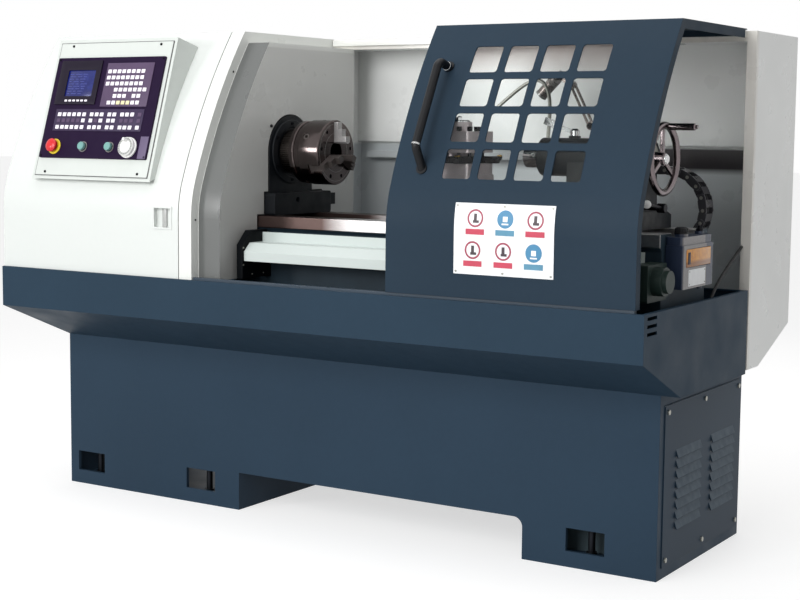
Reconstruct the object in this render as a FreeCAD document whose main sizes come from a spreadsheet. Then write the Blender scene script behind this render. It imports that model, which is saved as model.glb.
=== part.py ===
import FreeCAD, Part
import math
import os
import re
import Sketcher

# A flat-bed turning lathe in a sheet-metal enclosure.
# Sizes are millimetres.  x runs from the left end of the chip tray,
# y from the front edge of the tray to the back, z up from the floor.
# Every sub-part is drawn in these corner coordinates (or around its own
# axis) and its Placement carries it to the frame: the middle of the
# footprint, on the floor.

V = FreeCAD.Vector
doc = FreeCAD.newDocument("turning_lathe")
sheet = doc.addObject("Spreadsheet::Sheet", "sizes")

SIZES = [
    # the whole machine
    ("overall_length", 2250), ("overall_depth", 1120),
    ("overall_height", 1505),
    # base stand, a welded box open at the rear
    ("base_height", 510), ("base_left", 48), ("base_right", 2194),
    ("base_front", 255), ("base_back", 875), ("base_wall", 12),
    ("arch_left", 772), ("arch_right", 1785), ("arch_height", 120),
    ("arch_corner", 28), ("foot_floor", 25), ("shelf_height", 150),
    ("recess_width", 118), ("recess_low", 45), ("recess_tall", 66),
    ("jack_inset", 46), ("jack_pad_r", 22), ("jack_stud_r", 10),
    ("jack_nut_flat", 30), ("jack_top", 104), ("jack_gap", 2),
    ("pad_bore_r", 25), ("pad_tall", 14), ("nut_tall", 16),
    ("window_front", 330), ("window_back", 840), ("window_low", 100),
    ("window_top", 345),
    # louvred end cover
    ("cover_front", 285), ("cover_back", 862), ("cover_low", 30),
    ("cover_top", 478), ("cover_plate", 3), ("cover_margin", 20),
    ("louvre_count", 8), ("louvre_pitch", 28.5), ("louvre_first", 124),
    ("louvre_left", 367), ("louvre_right", 627), ("louvre_width", 174),
    ("louvre_out", 8), ("louvre_tall", 15), ("louvre_slot", 7),
    ("screw_head_r", 7), ("screw_head", 4), ("screw_r", 4),
    ("screw_fit", 0.05),
    # chip tray
    ("tray_depth", 748), ("tray_top", 755), ("tray_face", 128),
    ("tray_sheet", 4), ("tray_rim", 14), ("slot_low", 698),
    ("slot_pitch", 20), ("slot_tall", 9), ("slot_front", 20),
    ("slot_long", 62), ("belt_slot_x", 112), ("belt_slot_long", 98),
    ("belt_slot_y", 280), ("belt_slot_wide", 240),
    # enclosure profile: upright, a bend, a long lean, a flat roof
    ("skin_front", 10), ("bend_start", 940), ("bend_r", 320),
    ("bend_deg", 20), ("roof_front", 272), ("skin", 3),
    ("cover_end", 734), ("rim_start", 737), ("rim_end", 785),
    ("rim_deep", 34), ("wall_face", 866), ("hood_back", 757),
    ("bar_port_r", 42), ("bar_port_lip", 6), ("bar_port_long", 25),
    ("pull_x", 641), ("pull_wide", 64), ("pull_low", 908),
    ("pull_tall", 58), ("pull_deep", 14),
    # lathe bed
    ("bed_start", 225), ("bed_end", 2190), ("bed_front", 235),
    ("bed_wide", 330), ("bed_top", 941), ("way_wide", 74),
    ("way_tall", 34), ("way_out", 3), ("bed_web", 36),
    ("bed_foot", 42), ("bed_rib", 30), ("rib_count", 8),
    ("bed_gap_top", 850),
    # headstock and spindle line
    ("axis_y", 400), ("axis_z", 1136), ("head_start", 262),
    ("head_end", 744), ("head_front", 270), ("head_wide", 260),
    ("head_top", 1262), ("nose_end", 868), ("nose_r", 113),
    ("foot_end", 905), ("foot_top", 1010), ("foot_front", 266),
    ("lug_out", 42), ("lug_rise", 24), ("lug_drop", 8), ("arch_gap", 4),
    ("spindle_r", 46), ("spindle_bore_r", 26),
    ("spindle_start", 118), ("flange_start", 876), ("flange_r", 70),
    ("flange_end", 926), ("run_gap", 0.05), ("oil_hole_r", 9),
    # belt drive
    ("pulley_start", 135), ("pulley_wide", 64), ("big_pulley_r", 98),
    ("small_pulley_r", 62), ("pulley_lip", 7), ("motor_axis_z", 300),
    ("belt_tall", 9), ("belt_gap", 0.3), ("motor_start", 232),
    ("motor_end", 560), ("motor_r", 116), ("motor_shaft_r", 19),
    ("motor_foot_wide", 200), ("motor_foot_low", 162),
    # coolant tank
    ("tank_start", 1850), ("tank_end", 2150), ("tank_front", 350),
    ("tank_back", 800), ("tank_top", 330), ("tank_wall", 3),
    ("pump_r", 55), ("pump_tall", 130),
    # chuck
    ("plate_start", 926), ("plate_end", 944), ("plate_r", 97),
    ("chuck_start", 944), ("chuck_end", 1040), ("chuck_r", 100),
    ("chuck_step", 20), ("chuck_step_r", 92), ("chuck_bore_r", 32),
    ("scroll_start", 978), ("scroll_end", 998), ("scroll_r", 78),
    ("scroll_bore_r", 40), ("scroll_gap", 0.4), ("jaw_wide", 22),
    ("jaw_root_wide", 32), ("jaw_root", 14), ("jaw_first", 16),
    ("jaw_second", 14), ("jaw_third", 12), ("jaw_in", 28),
    ("jaw_out", 94), ("jaw_slot_gap", 0.05), ("pinion_r", 11),
    ("pinion_fit", 0.25), ("pinion_in", 82), ("pinion_out", 98),
    ("pinion_nose", 3), ("key_square", 9), ("key_deep", 12),
    # carriage, cross slide and turret
    ("saddle_start", 1430), ("saddle_long", 260), ("saddle_front", 205),
    ("saddle_back", 600), ("saddle_top", 1004), ("saddle_bridge", 964),
    ("way_fit", 0.05), ("nut_start", 1500), ("nut_long", 90),
    ("slide_start", 1470), ("slide_long", 170), ("slide_front", 150),
    ("slide_back", 560), ("slide_top", 1046), ("tail_narrow", 90),
    ("tail_wide", 120), ("tail_tall", 16), ("post_x", 1560),
    ("post_y", 255), ("post_half", 78), ("post_top", 1084),
    ("turret_half", 74), ("turret_top", 1206), ("turret_gap", 0.3),
    ("turret_slot_low", 1116), ("turret_slot_tall", 30),
    ("turret_slot_deep", 30), ("tool_size", 20), ("tool_out", 34),
    ("turret_pin_r", 22), ("x_motor_half", 45), ("x_motor_long", 118),
    # z drive and its cover
    ("z_axis_y", 170), ("z_axis_z", 826), ("z_screw_r", 16),
    ("z_screw_end_r", 12), ("bracket_start", 884), ("bracket_wide", 22),
    ("bracket_front", 103), ("bracket_top", 902), ("bracket_low", 758),
    ("bracket_slope", 42), ("way_cover_end", 2160), ("z_motor_end", 2247),
    ("z_motor_half", 50), ("z_motor_r", 38), ("z_block_end", 2205),
    ("cover_top_y", 204), ("cover_band_top", 895),
    ("cover_band_low", 866), ("cover_ledge_y", 138),
    ("cover_nose_y", 110), ("cover_nose_z", 840), ("cover_skirt", 812),
    # tailstock
    ("tail_start", 1850), ("tail_end", 2090), ("tail_front", 262),
    ("tail_back", 545), ("tail_base_top", 992), ("barrel_start", 1760),
    ("barrel_r", 54), ("tail_neck", 120), ("quill_r", 32),
    ("quill_tip", 1706), ("quill_end", 2040), ("quill_bore_r", 12),
    ("wheel_x", 2128), ("wheel_r", 92), ("wheel_rim_r", 10),
    ("hub_r", 20), ("wheel_shaft_r", 11),
    ("grip_r", 9.5), ("grip_long", 80), ("grip_pin_r", 4),
    ("lever_x", 1855), ("lever_long", 96), ("lever_r", 5),
    # sliding door
    ("door_start", 1475), ("door_long", 746), ("door_low", 763),
    ("door_back", 752), ("door_lip", 26), ("hook_y", 737),
    ("hook_drop", 21), ("pane_cols", 4), ("pane_pitch_x", 109),
    ("pane_first_x", 1676), ("pane_pitch_s", 107), ("pane_first_s", 187),
    ("pane_size", 86), ("pane_corner", 9), ("pane_thick", 4),
    ("pane_edge", 24), ("handle_x", 1565), ("handle_low_s", 166),
    ("handle_bar_low_s", 214), ("handle_bar_high_s", 468),
    ("handle_high_s", 484),
    ("handle_out", 56), ("handle_r", 12), ("handle_bend", 24),
    ("sign_start", 1693), ("sign_wide", 298), ("sign_low", 828),
    ("sign_tall", 190), ("sign_thick", 1.5),
    # door rails
    ("rail_front", 744), ("rail_wide", 13), ("rail_tall", 20),
    ("rail_gap", 0.1), ("low_rail_y", 14),
    # rear guard and electrical cabinet
    ("guard_front", 757), ("guard_low", 520), ("guard_mid", 853),
    ("guard_rear_low", 624), ("guard_drop", 6), ("beam_drop", 35),
    ("alcove_back", 924), ("panel_front", 900), ("panel_low", 1167),
    ("post_wide", 30), ("guard_foot", 10), ("ledge_start", 835),
    ("ledge_end", 1560), ("ledge_y", 884), ("ledge_low", 1113),
    ("ledge_top", 1135), ("cabinet_back", 1098), ("cabinet_sheet", 3),
    ("opening_start", 160), ("opening_end", 1040), ("opening_low", 710),
    ("opening_top", 1440), ("leaf_margin", 20), ("leaf_deep", 18),
    ("leaf_gap", 0.5), ("hinge_r", 6), ("hinge_pin_r", 3),
    ("switch_x", 1400), ("switch_z", 1250), ("switch_r", 24),
    ("switch_long", 60), ("switch_pin_r", 5),
    # control box on the headstock cover
    ("box_start", 135), ("box_wide", 492), ("box_low_y", 5),
    ("box_low_z", 1043), ("box_high_y", 144), ("box_high_z", 1484),
    ("box_top_in_y", 233), ("box_top_in_z", 1460), ("box_low_in_y", 40),
    ("box_low_in_z", 1057), ("box_gap", 0.3), ("plate_inset", 13),
    ("plate_thick", 3), ("panel_u", 19), ("panel_wide", 447),
    ("panel_v", 68), ("panel_tall", 331), ("panel_thick", 6),
    ("stop_u", 79), ("stop_v", 104), ("stop_r", 21),
    ("stop_tall", 21.5), ("start_u", 200), ("hold_u", 311), ("button_v", 105),
    ("button_r", 13), ("button_out", 10), ("button_stem_r", 6),
    ("dial_u", 390), ("dial_v", 104), ("dial_r", 30),
    ("dial_out", 18), ("dial_knob", 14.5), ("stem_fit", 0.05), ("push_gap", 4),
    # lubricator on the end of the bed
    ("lube_front", 262), ("lube_wide", 215), ("lube_deep", 54),
    ("lube_low", 796), ("lube_body_top", 912), ("lube_top", 942),
    # cable chain behind the bed
    ("chain_y", 600), ("chain_wide", 55), ("chain_r", 110),
    ("chain_tall", 24), ("chain_x", 2052), ("chain_mid_z", 990),
    ("chain_start", 1860), ("chain_links", 18), ("chain_low_end", 1930),
    # work lamp
    ("lamp_x", 1760), ("lamp_z", 1225), ("lamp_y", 700),
    ("lamp_plate_r", 34), ("lamp_stalk_r", 9), ("lamp_joint_r", 13),
    ("lamp_arm_x", 1697), ("lamp_arm_z", 1347), ("lamp_rod_r", 4),
    ("lamp_head_r", 18), ("lamp_head_long", 84), ("lamp_head_deg", 45),
]

NAMES = [name for name, value in SIZES]
for row, (name, value) in enumerate(SIZES, 1):
    sheet.set("A%d" % row, name)
    sheet.set("B%d" % row, str(value))
    sheet.setAlias("B%d" % row, name)
doc.recompute()


class Sizes:
    pass


s = Sizes()
for name, value in SIZES:
    setattr(s, name, float(value))

WORD = re.compile(r"[a-z][a-z_0-9]*")
MIDDLE_X = " - overall_length / 2"
MIDDLE_Y = " - overall_depth / 2"


def tie(obj, prop, text):
    # bind one property to named sizes
    full = WORD.sub(
        lambda m: "sizes." + m.group(0) if m.group(0) in NAMES
        else m.group(0), text)
    obj.setExpression(prop, full)


def settle(obj, x="0", y="0", z="0", turn=None):
    # carry a sub-part from corner coordinates to the frame
    if turn is not None:
        obj.Placement = FreeCAD.Placement(V(0, 0, 0), turn)
    tie(obj, "Placement.Base.x", x + MIDDLE_X)
    tie(obj, "Placement.Base.y", y + MIDDLE_Y)
    tie(obj, "Placement.Base.z", z)


# ---- outlines -------------------------------------------------------

def path_edges(points):
    # points: (a, b), (a, b, corner radius) or ("arc", middle, end)
    runs = []
    count = len(points)
    for i, p in enumerate(points):
        if p[0] == "arc":
            runs.append(("arc", p[1], p[2]))
            continue
        if len(p) == 2 or not p[2]:
            runs.append(("point", (p[0], p[1])))
            continue
        before = points[i - 1]
        after = points[(i + 1) % count]
        before = before[2] if before[0] == "arc" else before
        here = V(p[0], p[1], 0)
        u = V(before[0], before[1], 0) - here
        w = V(after[0], after[1], 0) - here
        u.normalize()
        w.normalize()
        half = u.getAngle(w) / 2
        back = p[2] / math.tan(half)
        a = here + u * back
        b = here + w * back
        split = (u + w).normalize()
        far = p[2] / math.sin(half) - p[2]
        m = here + split * far
        runs.append(("point", (a.x, a.y)))
        runs.append(("arc", (m.x, m.y), (b.x, b.y)))
    edges = []
    first = None
    last = None
    for run in runs:
        if run[0] == "point":
            here = V(run[1][0], run[1][1], 0)
            if last is not None and (here - last).Length > 1e-6:
                edges.append(Part.LineSegment(last, here))
            last = here
            first = here if first is None else first
        else:
            mid = V(run[1][0], run[1][1], 0)
            end = V(run[2][0], run[2][1], 0)
            edges.append(Part.Arc(last, mid, end))
            last = end
    if (first - last).Length > 1e-6:
        edges.append(Part.LineSegment(last, first))
    return edges


def draw(sketch, points):
    # a closed loop, its corners held together
    start = sketch.GeometryCount
    shapes = path_edges(points)
    sketch.addGeometry(shapes, False)
    count = len(shapes)
    for i in range(count):
        a = start + i
        b = start + (i + 1) % count
        ends = [(sketch.getPoint(a, 1), 1), (sketch.getPoint(a, 2), 2)]
        heads = [(sketch.getPoint(b, 1), 1), (sketch.getPoint(b, 2), 2)]
        best = min(((p - q).Length, i1, i2)
                   for p, i1 in ends for q, i2 in heads)
        sketch.addConstraint(
            Sketcher.Constraint("Coincident", a, best[1], b, best[2]))


def ring(sketch, a, b, radius, name=None):
    # a circle; its radius follows a named size
    k = sketch.addGeometry(
        Part.Circle(V(a, b, 0), V(0, 0, 1), radius), False)
    c = sketch.addConstraint(Sketcher.Constraint("Radius", k, radius))
    if name:
        sketch.renameConstraint(c, "rim%d" % k)
        tie(sketch, "Constraints.rim%d" % k, name)


def box_path(a0, a1, b0, b1, corner=0):
    return [(a0, b0, corner), (a1, b0, corner), (a1, b1, corner),
            (a0, b1, corner)]


# ---- bodies ---------------------------------------------------------

ROLE = {"x": "YZ_Plane", "y": "XZ_Plane", "z": "XY_Plane"}


class Body:
    # a PartDesign body built of pads, pockets and turned features

    def __init__(self, label):
        self.body = doc.addObject("PartDesign::Body", label)
        self.body.Label = label
        self.last = None

    def sketch(self, axis, offset):
        flat = [f for f in self.body.Origin.OriginFeatures
                if f.Role == ROLE[axis]][0]
        sk = self.body.newObject("Sketcher::SketchObject", "outline")
        sk.AttachmentSupport = [(flat, "")]
        sk.MapMode = "FlatFace"
        lift = -offset if axis == "y" else offset
        sk.AttachmentOffset = FreeCAD.Placement(
            V(0, 0, lift), FreeCAD.Rotation())
        return sk

    def shape(self, kind, axis, low, high, loops, rings, length):
        # pads grow along the plane's normal, pockets against it
        start = low if (kind == "Pad") != (axis == "y") else high
        sk = self.sketch(axis, start)
        for loop in loops:
            draw(sk, loop)
        for hole in rings:
            ring(sk, *hole)
        f = self.body.newObject("PartDesign::" + kind, kind.lower())
        f.Profile = sk
        f.Length = high - low
        if length:
            tie(f, "Length", length)
        sk.Visibility = False
        self.last = f
        return f

    def pad(self, axis, low, high, loops, rings=(), length=None):
        return self.shape("Pad", axis, low, high, loops, rings, length)

    def cut(self, axis, low, high, loops, rings=(), length=None):
        return self.shape("Pocket", axis, low, high, loops, rings, length)

    def turned(self, kind, axis, points):
        # turn a half outline about the body's own axis
        plane = {"x": "y", "z": "y", "y": "x"}[axis]
        line = {"x": "H_Axis", "z": "V_Axis", "y": "H_Axis"}[axis]
        sk = self.sketch(plane, 0)
        draw(sk, points)
        f = self.body.newObject("PartDesign::" + kind, kind.lower())
        f.Profile = sk
        f.ReferenceAxis = (sk, [line])
        f.Angle = 360.0
        self.last = f
        return f

    def revolve(self, axis, points):
        return self.turned("Revolution", axis, points)

    def groove(self, axis, points):
        return self.turned("Groove", axis, points)

    def repeat(self, feature, count, turn_axis=None, line=None, gap=0):
        # a row or a ring of copies of one feature
        origin = self.body.Origin.OriginFeatures
        pick = turn_axis or line
        ref = [f for f in origin if f.Role == pick.upper() + "_Axis"][0]
        if turn_axis:
            p = self.body.newObject("PartDesign::PolarPattern", "ring")
            p.Axis = (ref, [""])
            p.Angle = 360.0
        else:
            p = self.body.newObject("PartDesign::LinearPattern", "row")
            p.Direction = (ref, [""])
            p.Length = gap * (count - 1)
        p.Originals = [feature]
        p.Occurrences = int(count)
        self.body.Tip = p
        self.last = p
        return p


# ---- part-workbench helpers -----------------------------------------

def block(x0, x1, y0, y1, z0, z1, tall=None):
    b = doc.addObject("Part::Box", "block")
    b.Length, b.Width, b.Height = x1 - x0, y1 - y0, z1 - z0
    b.Placement.Base = V(x0, y0, z0)
    if tall:
        tie(b, "Height", tall)
    return b


def rod(x, y, z, axis, radius, length, name=None):
    c = doc.addObject("Part::Cylinder", "rod")
    c.Radius, c.Height = radius, length
    turn = {"x": FreeCAD.Rotation(V(0, 1, 0), 90),
            "y": FreeCAD.Rotation(V(1, 0, 0), -90),
            "z": FreeCAD.Rotation()}[axis]
    c.Placement = FreeCAD.Placement(V(x, y, z), turn)
    if name:
        tie(c, "Radius", name)
    return c


def prism(axis, low, high, points):
    # a straight bar of any outline
    sk = doc.addObject("Sketcher::SketchObject", "outline")
    turn = {"z": FreeCAD.Rotation(),
            "x": FreeCAD.Rotation(V(1, 1, 1), 120),
            "y": FreeCAD.Rotation(V(1, 0, 0), 90)}[axis]
    way = {"z": V(0, 0, 1), "x": V(1, 0, 0), "y": V(0, -1, 0)}[axis]
    start = high if axis == "y" else low
    spot = {"z": V(0, 0, start), "x": V(start, 0, 0),
            "y": V(0, start, 0)}[axis]
    sk.Placement = FreeCAD.Placement(spot, turn)
    draw(sk, points)
    e = doc.addObject("Part::Extrusion", "bar")
    e.Base = sk
    e.DirMode = "Custom"
    e.Dir = way
    e.LengthFwd = high - low
    e.Solid = True
    return e


def fuse(parts):
    if len(parts) == 1:
        return parts[0]
    f = doc.addObject("Part::MultiFuse", "joined")
    f.Shapes = list(parts)
    return f


def carve(base, tools, label=None):
    tool = fuse(tools)
    c = doc.addObject("Part::Cut", label or "carved")
    c.Base = base
    c.Tool = tool
    if label:
        c.Label = label
    return c


def name_it(obj, label):
    obj.Label = label
    return obj


finished = []


def finish(obj, x="0", y="0", z="0", turn=None):
    if hasattr(obj, "body"):
        obj = obj.body
    settle(obj, x, y, z, turn)
    finished.append(obj)
    return obj


# ---- the enclosure profile ------------------------------------------

BEND = math.radians(s.bend_deg)
C1 = (s.skin_front + s.bend_r, s.bend_start)
P1 = (C1[0] - s.bend_r * math.cos(BEND), C1[1] + s.bend_r * math.sin(BEND))
RUN = s.roof_front - P1[0]
RISE = s.overall_height - P1[1]
LEAN = math.atan2(RUN, RISE) - BEND
LEAN_R = math.hypot(RUN, RISE) / 2 / math.sin(LEAN)
C2 = (P1[0] + LEAN_R * math.cos(BEND), P1[1] - LEAN_R * math.sin(BEND))


def on_arc(centre, radius, angle):
    return (centre[0] - radius * math.cos(angle),
            centre[1] + radius * math.sin(angle))


def skin_path(inward, back, low, top=None):
    # outline in y, z of everything behind the skin, moved inward
    top = s.overall_height - inward if top is None else top
    r1 = s.bend_r - inward
    r2 = LEAN_R - inward
    last = math.asin((top - C2[1]) / r2)
    mid = (BEND + last) / 2
    return [(back, low), (s.skin_front + inward, low),
            (s.skin_front + inward, s.bend_start),
            ("arc", on_arc(C1, r1, BEND / 2), on_arc(C1, r1, BEND)),
            ("arc", on_arc(C2, r2, mid), on_arc(C2, r2, last)),
            (back, top)]


def skin_point(along, out=0.0):
    # point on the lean, its distance measured up the skin
    first = s.bend_r * BEND
    if along <= 0:
        return (s.skin_front - out, s.bend_start + along, 0.0)
    if along < first:
        a = along / s.bend_r
        y, z = on_arc(C1, s.bend_r + out, a)
    else:
        a = BEND + (along - first) / LEAN_R
        y, z = on_arc(C2, LEAN_R + out, a)
    return (y, z, a)


# ---- base stand -----------------------------------------------------

w = s.base_wall
top = s.base_height
stand = Body("base_stand")
stand.pad("y", s.base_front, s.base_back, [[
    (s.base_left, 0), (s.arch_left, 0), (s.arch_left, s.arch_height),
    (s.arch_right, s.arch_height, s.arch_corner), (s.arch_right, 0),
    (s.base_right, 0), (s.base_right, top), (s.base_left, top)]],
    length="base_back - base_front")
stand.cut("y", s.base_front + w, s.base_back, [
    box_path(s.base_left + w, s.arch_left - w, s.foot_floor, top - w),
    box_path(s.arch_left, s.arch_right, s.arch_height + w, top - w),
    box_path(s.arch_right + w, s.base_right - w, s.foot_floor, top - w)])
jack_x = [s.base_left + 94, s.arch_left - 156, s.arch_right + 196]
half = s.recess_width / 2
stand.cut("y", s.base_front, s.base_front + w, [
    box_path(x - half, x + half, s.recess_low, s.recess_low + s.recess_tall)
    for x in jack_x])
jack_y = [s.base_front + s.jack_inset, s.base_back - s.jack_inset]
jacks = [(x, y) for x in jack_x for y in jack_y]
stand.cut("z", 0, s.pad_tall + 1, [],
          [(x, y, s.pad_bore_r, "pad_bore_r") for x, y in jacks])
stand.cut("z", s.pad_tall + 1, s.foot_floor, [],
          [(x, y, s.jack_stud_r + s.jack_gap) for x, y in jacks])
stand.cut("x", s.base_right - w, s.base_right, [box_path(
    s.window_front, s.window_back, s.window_low, s.window_top, 12)])
cover_ys = [s.cover_front + s.cover_margin, s.cover_back - s.cover_margin]
cover_zs = [s.cover_low + s.cover_margin, s.cover_top - s.cover_margin]
cover_mid = (s.cover_front + s.cover_back) / 2
cover_screws = [(y, z) for y in cover_ys for z in cover_zs]
cover_screws += [(cover_mid, z) for z in cover_zs]
hole_r = s.screw_r + s.screw_fit
stand.cut("x", s.base_right - w, s.base_right, [],
          [(y, z, hole_r, "screw_r + screw_fit") for y, z in cover_screws])
slot = box_path(s.belt_slot_x, s.belt_slot_x + s.belt_slot_long,
                s.belt_slot_y, s.belt_slot_y + s.belt_slot_wide, 10)
stand.cut("z", top - w, top, [slot])
# a shelf across the left box carries the main motor
stand.pad("z", s.shelf_height, s.motor_foot_low,
          [box_path(s.base_left + w - 1, s.arch_left - w + 1,
                    s.base_front + w - 1, s.base_front + s.base_wall * 25)])
finish(stand)

# ---- levelling jacks, one kind of fastener --------------------------

hex_r = s.jack_nut_flat / 2 / math.cos(math.pi / 6)
nut_low = s.foot_floor
jack_list = []
for x, y in jacks:
    nut = prism("z", nut_low, nut_low + s.nut_tall, [
        (x + hex_r * math.cos(k * math.pi / 3),
         y + hex_r * math.sin(k * math.pi / 3)) for k in range(6)])
    jack_list.append(fuse([
        rod(x, y, 0, "z", s.jack_pad_r, s.pad_tall, "jack_pad_r"),
        rod(x, y, 0, "z", s.jack_stud_r, s.jack_top, "jack_stud_r"),
        nut]))
group = doc.addObject("Part::Compound", "levelling_jacks")
group.Links = jack_list
finish(name_it(group, "levelling_jacks"))

# ---- louvred end cover ----------------------------------------------

x0 = s.base_right
x1 = x0 + s.cover_plate
end = Body("end_cover")
end.pad("x", x0, x1, [box_path(s.cover_front, s.cover_back, s.cover_low,
                               s.cover_top, 4)], length="cover_plate")
end.cut("x", x0, x1, [], [(y, z, hole_r, "screw_r + screw_fit")
                          for y, z in cover_screws])
for left in (s.louvre_left, s.louvre_right):
    slit = end.cut("x", x0, x1, [box_path(
        left, left + s.louvre_width, s.louvre_first,
        s.louvre_first + s.louvre_slot)])
    end.repeat(slit, s.louvre_count, line="z", gap=s.louvre_pitch)
    hood = end.pad("y", left - 2, left + s.louvre_width + 2, [[
        (x1 - 1, s.louvre_first + s.louvre_slot),
        (x1, s.louvre_first + s.louvre_slot),
        (x1 + s.louvre_out - 2, s.louvre_first - 1),
        (x1 + s.louvre_out, s.louvre_first),
        (x1, s.louvre_first + s.louvre_slot + s.louvre_tall),
        (x1 - 1, s.louvre_first + s.louvre_slot + s.louvre_tall)]])
    end.repeat(hood, s.louvre_count, line="z", gap=s.louvre_pitch)
finish(end)

screw_list = []
for y, z in cover_screws:
    screw_list.append(fuse([
        rod(x1, y, z, "x", s.screw_head_r, s.screw_head, "screw_head_r"),
        rod(x0 - w, y, z, "x", s.screw_r, w + s.cover_plate + 1,
            "screw_r")]))
group = doc.addObject("Part::Compound", "cover_screws")
group.Links = screw_list
finish(name_it(group, "cover_screws"))

# ---- chip tray: an open trough with raked front and left sides ------


def trough(t, top_z):
    # t shrinks the trough on every side, for its inside
    low = s.base_height + t
    face = s.tray_top - s.tray_face
    front = prism("x", 0, s.overall_length, [
        (t, top_z), (t, face + t), (s.base_front, low),
        (s.tray_depth - t, low), (s.tray_depth - t, top_z)])
    side = prism("y", 0, s.tray_depth, [
        (t, top_z), (t, face), (s.base_left + t, low),
        (s.overall_length - t, low), (s.overall_length - t, top_z)])
    both = doc.addObject("Part::MultiCommon", "trough")
    both.Shapes = [front, side]
    return both


t = s.tray_sheet
rim = s.tray_rim
tray_tools = [trough(t, s.tray_top - t), block(
    rim, s.overall_length - rim, rim, s.tray_depth - rim,
    s.tray_top - t - 1, s.tray_top + 1)]
tray_tools.append(prism("z", s.base_height - 1, s.base_height + t + 1, slot))
for k in range(3):
    z = s.slot_low + k * s.slot_pitch
    tray_tools.append(block(s.overall_length - t - 1, s.overall_length + 1,
                            s.slot_front, s.slot_front + s.slot_long,
                            z, z + s.slot_tall))
tray = carve(trough(0, s.tray_top), tray_tools, "chip_tray")
finish(tray)

# ---- lathe bed ------------------------------------------------------

bf = s.bed_front
bb = bf + s.bed_wide
floor = s.base_height + s.tray_sheet
way_low = s.bed_top - s.way_tall
foot_y = s.base_front + 8
bed = Body("lathe_bed")
bed.pad("x", s.bed_start, s.bed_end, [[
    (foot_y, floor), (bb, floor), (bb, floor + s.bed_foot),
    (bb - 10, floor + s.bed_foot + 14), (bb - 10, way_low - 12),
    (bb + s.way_out, way_low), (bb + s.way_out, s.bed_top),
    (bb - s.way_wide, s.bed_top), (bb - s.way_wide, s.bed_gap_top + 20),
    (bf + s.way_wide, s.bed_gap_top + 20), (bf + s.way_wide, s.bed_top),
    (bf - s.way_out, s.bed_top), (bf - s.way_out, way_low),
    (bf + 10, way_low - 12), (bf + 10, floor + s.bed_foot + 14),
    (foot_y, floor + s.bed_foot)]], length="bed_end - bed_start")
# chip openings between the walls, the ribs left standing
gap = (s.bed_end - s.bed_start - s.bed_rib * (s.rib_count + 1)) / s.rib_count
well = bed.cut("z", floor, s.bed_gap_top + 20, [box_path(
    s.bed_start + s.bed_rib, s.bed_start + s.bed_rib + gap,
    bf + 10 + s.bed_web, bb - 10 - s.bed_web, 16)])
bed.repeat(well, s.rib_count, line="x", gap=gap + s.bed_rib)
# the belt runs past the left end of the bed
finish(bed)

# ---- headstock ------------------------------------------------------

ay, az = s.axis_y, s.axis_z
hf = s.head_front
hb = hf + s.head_wide
head = Body("headstock_casting")
head.pad("x", s.head_start, s.head_end, [box_path(
    hf, hb, s.bed_top, s.head_top, 18)], length="head_end - head_start")
arch = [(ay - s.nose_r, s.bed_top), (ay + s.nose_r, s.bed_top),
        (ay + s.nose_r, az),
        ("arc", (ay, az + s.nose_r), (ay - s.nose_r, az))]
head.pad("x", s.head_end - 1, s.nose_end, [arch])
head.pad("x", s.head_end - 1, s.foot_end, [box_path(
    s.foot_front, bb + s.way_out, s.bed_top, s.foot_top, 8)])
lug_low, lug_top = s.bed_top + s.lug_rise, s.foot_top - s.lug_drop
head.pad("x", s.foot_end - 60, s.foot_end - 10, [box_path(
    bb, bb + s.lug_out, lug_low, lug_top)])
head.cut("x", s.head_start, s.foot_end, [], [
    (ay, az, s.spindle_r + s.run_gap, "spindle_r + run_gap")])
head.cut("x", s.foot_end - 30, s.foot_end, [], [
    (ay - 14, s.bed_top + 46, s.oil_hole_r, "oil_hole_r")])
finish(head)

spindle = Body("spindle")
sr = s.spindle_r
spindle.revolve("x", [
    (s.spindle_start, s.spindle_bore_r), (s.spindle_start, sr - 8),
    (s.pulley_start + s.pulley_wide, sr - 8),
    (s.pulley_start + s.pulley_wide, sr),
    (s.nose_end + 0.5, sr), (s.nose_end + 0.5, s.flange_r - 8),
    (s.flange_start, s.flange_r), (s.flange_end, s.flange_r),
    (s.flange_end, s.spindle_bore_r)])
finish(spindle, y="axis_y", z="axis_z")


def pulley(label, radius, bore, grooves):
    # a wheel with vee grooves and a lip at each end
    p0 = s.pulley_start
    p1 = p0 + s.pulley_wide
    wheel = Body(label)
    wheel.revolve("x", [
        (p0, bore), (p0, radius + s.pulley_lip),
        (p0 + 2, radius + s.pulley_lip), (p0 + 2, radius),
        (p1 - 2, radius), (p1 - 2, radius + s.pulley_lip),
        (p1, radius + s.pulley_lip), (p1, bore)])
    step = (s.pulley_wide - 4) / grooves
    for k in range(grooves):
        g = p0 + 2 + step * (k + 0.5)
        wheel.groove("x", [(g - 3, radius + 1), (g - 1, radius - 4),
                           (g + 1, radius - 4), (g + 3, radius + 1)])
    return wheel


big = pulley("spindle_pulley", s.big_pulley_r, sr - 8 + s.run_gap, 4)
finish(big, y="axis_y", z="axis_z")

small = pulley("motor_pulley", s.small_pulley_r, 0, 4)
small.revolve("x", [
    (s.pulley_start + s.pulley_wide - 1, 0),
    (s.pulley_start + s.pulley_wide - 1, s.motor_shaft_r),
    (s.motor_start + 120, s.motor_shaft_r), (s.motor_start + 120, 0)])
finish(small, y="axis_y", z="motor_axis_z")

# belt: the two wheels' common tangents, closed round both
rise = az - s.motor_axis_z
tilt = math.asin((s.big_pulley_r - s.small_pulley_r) / rise)


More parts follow.
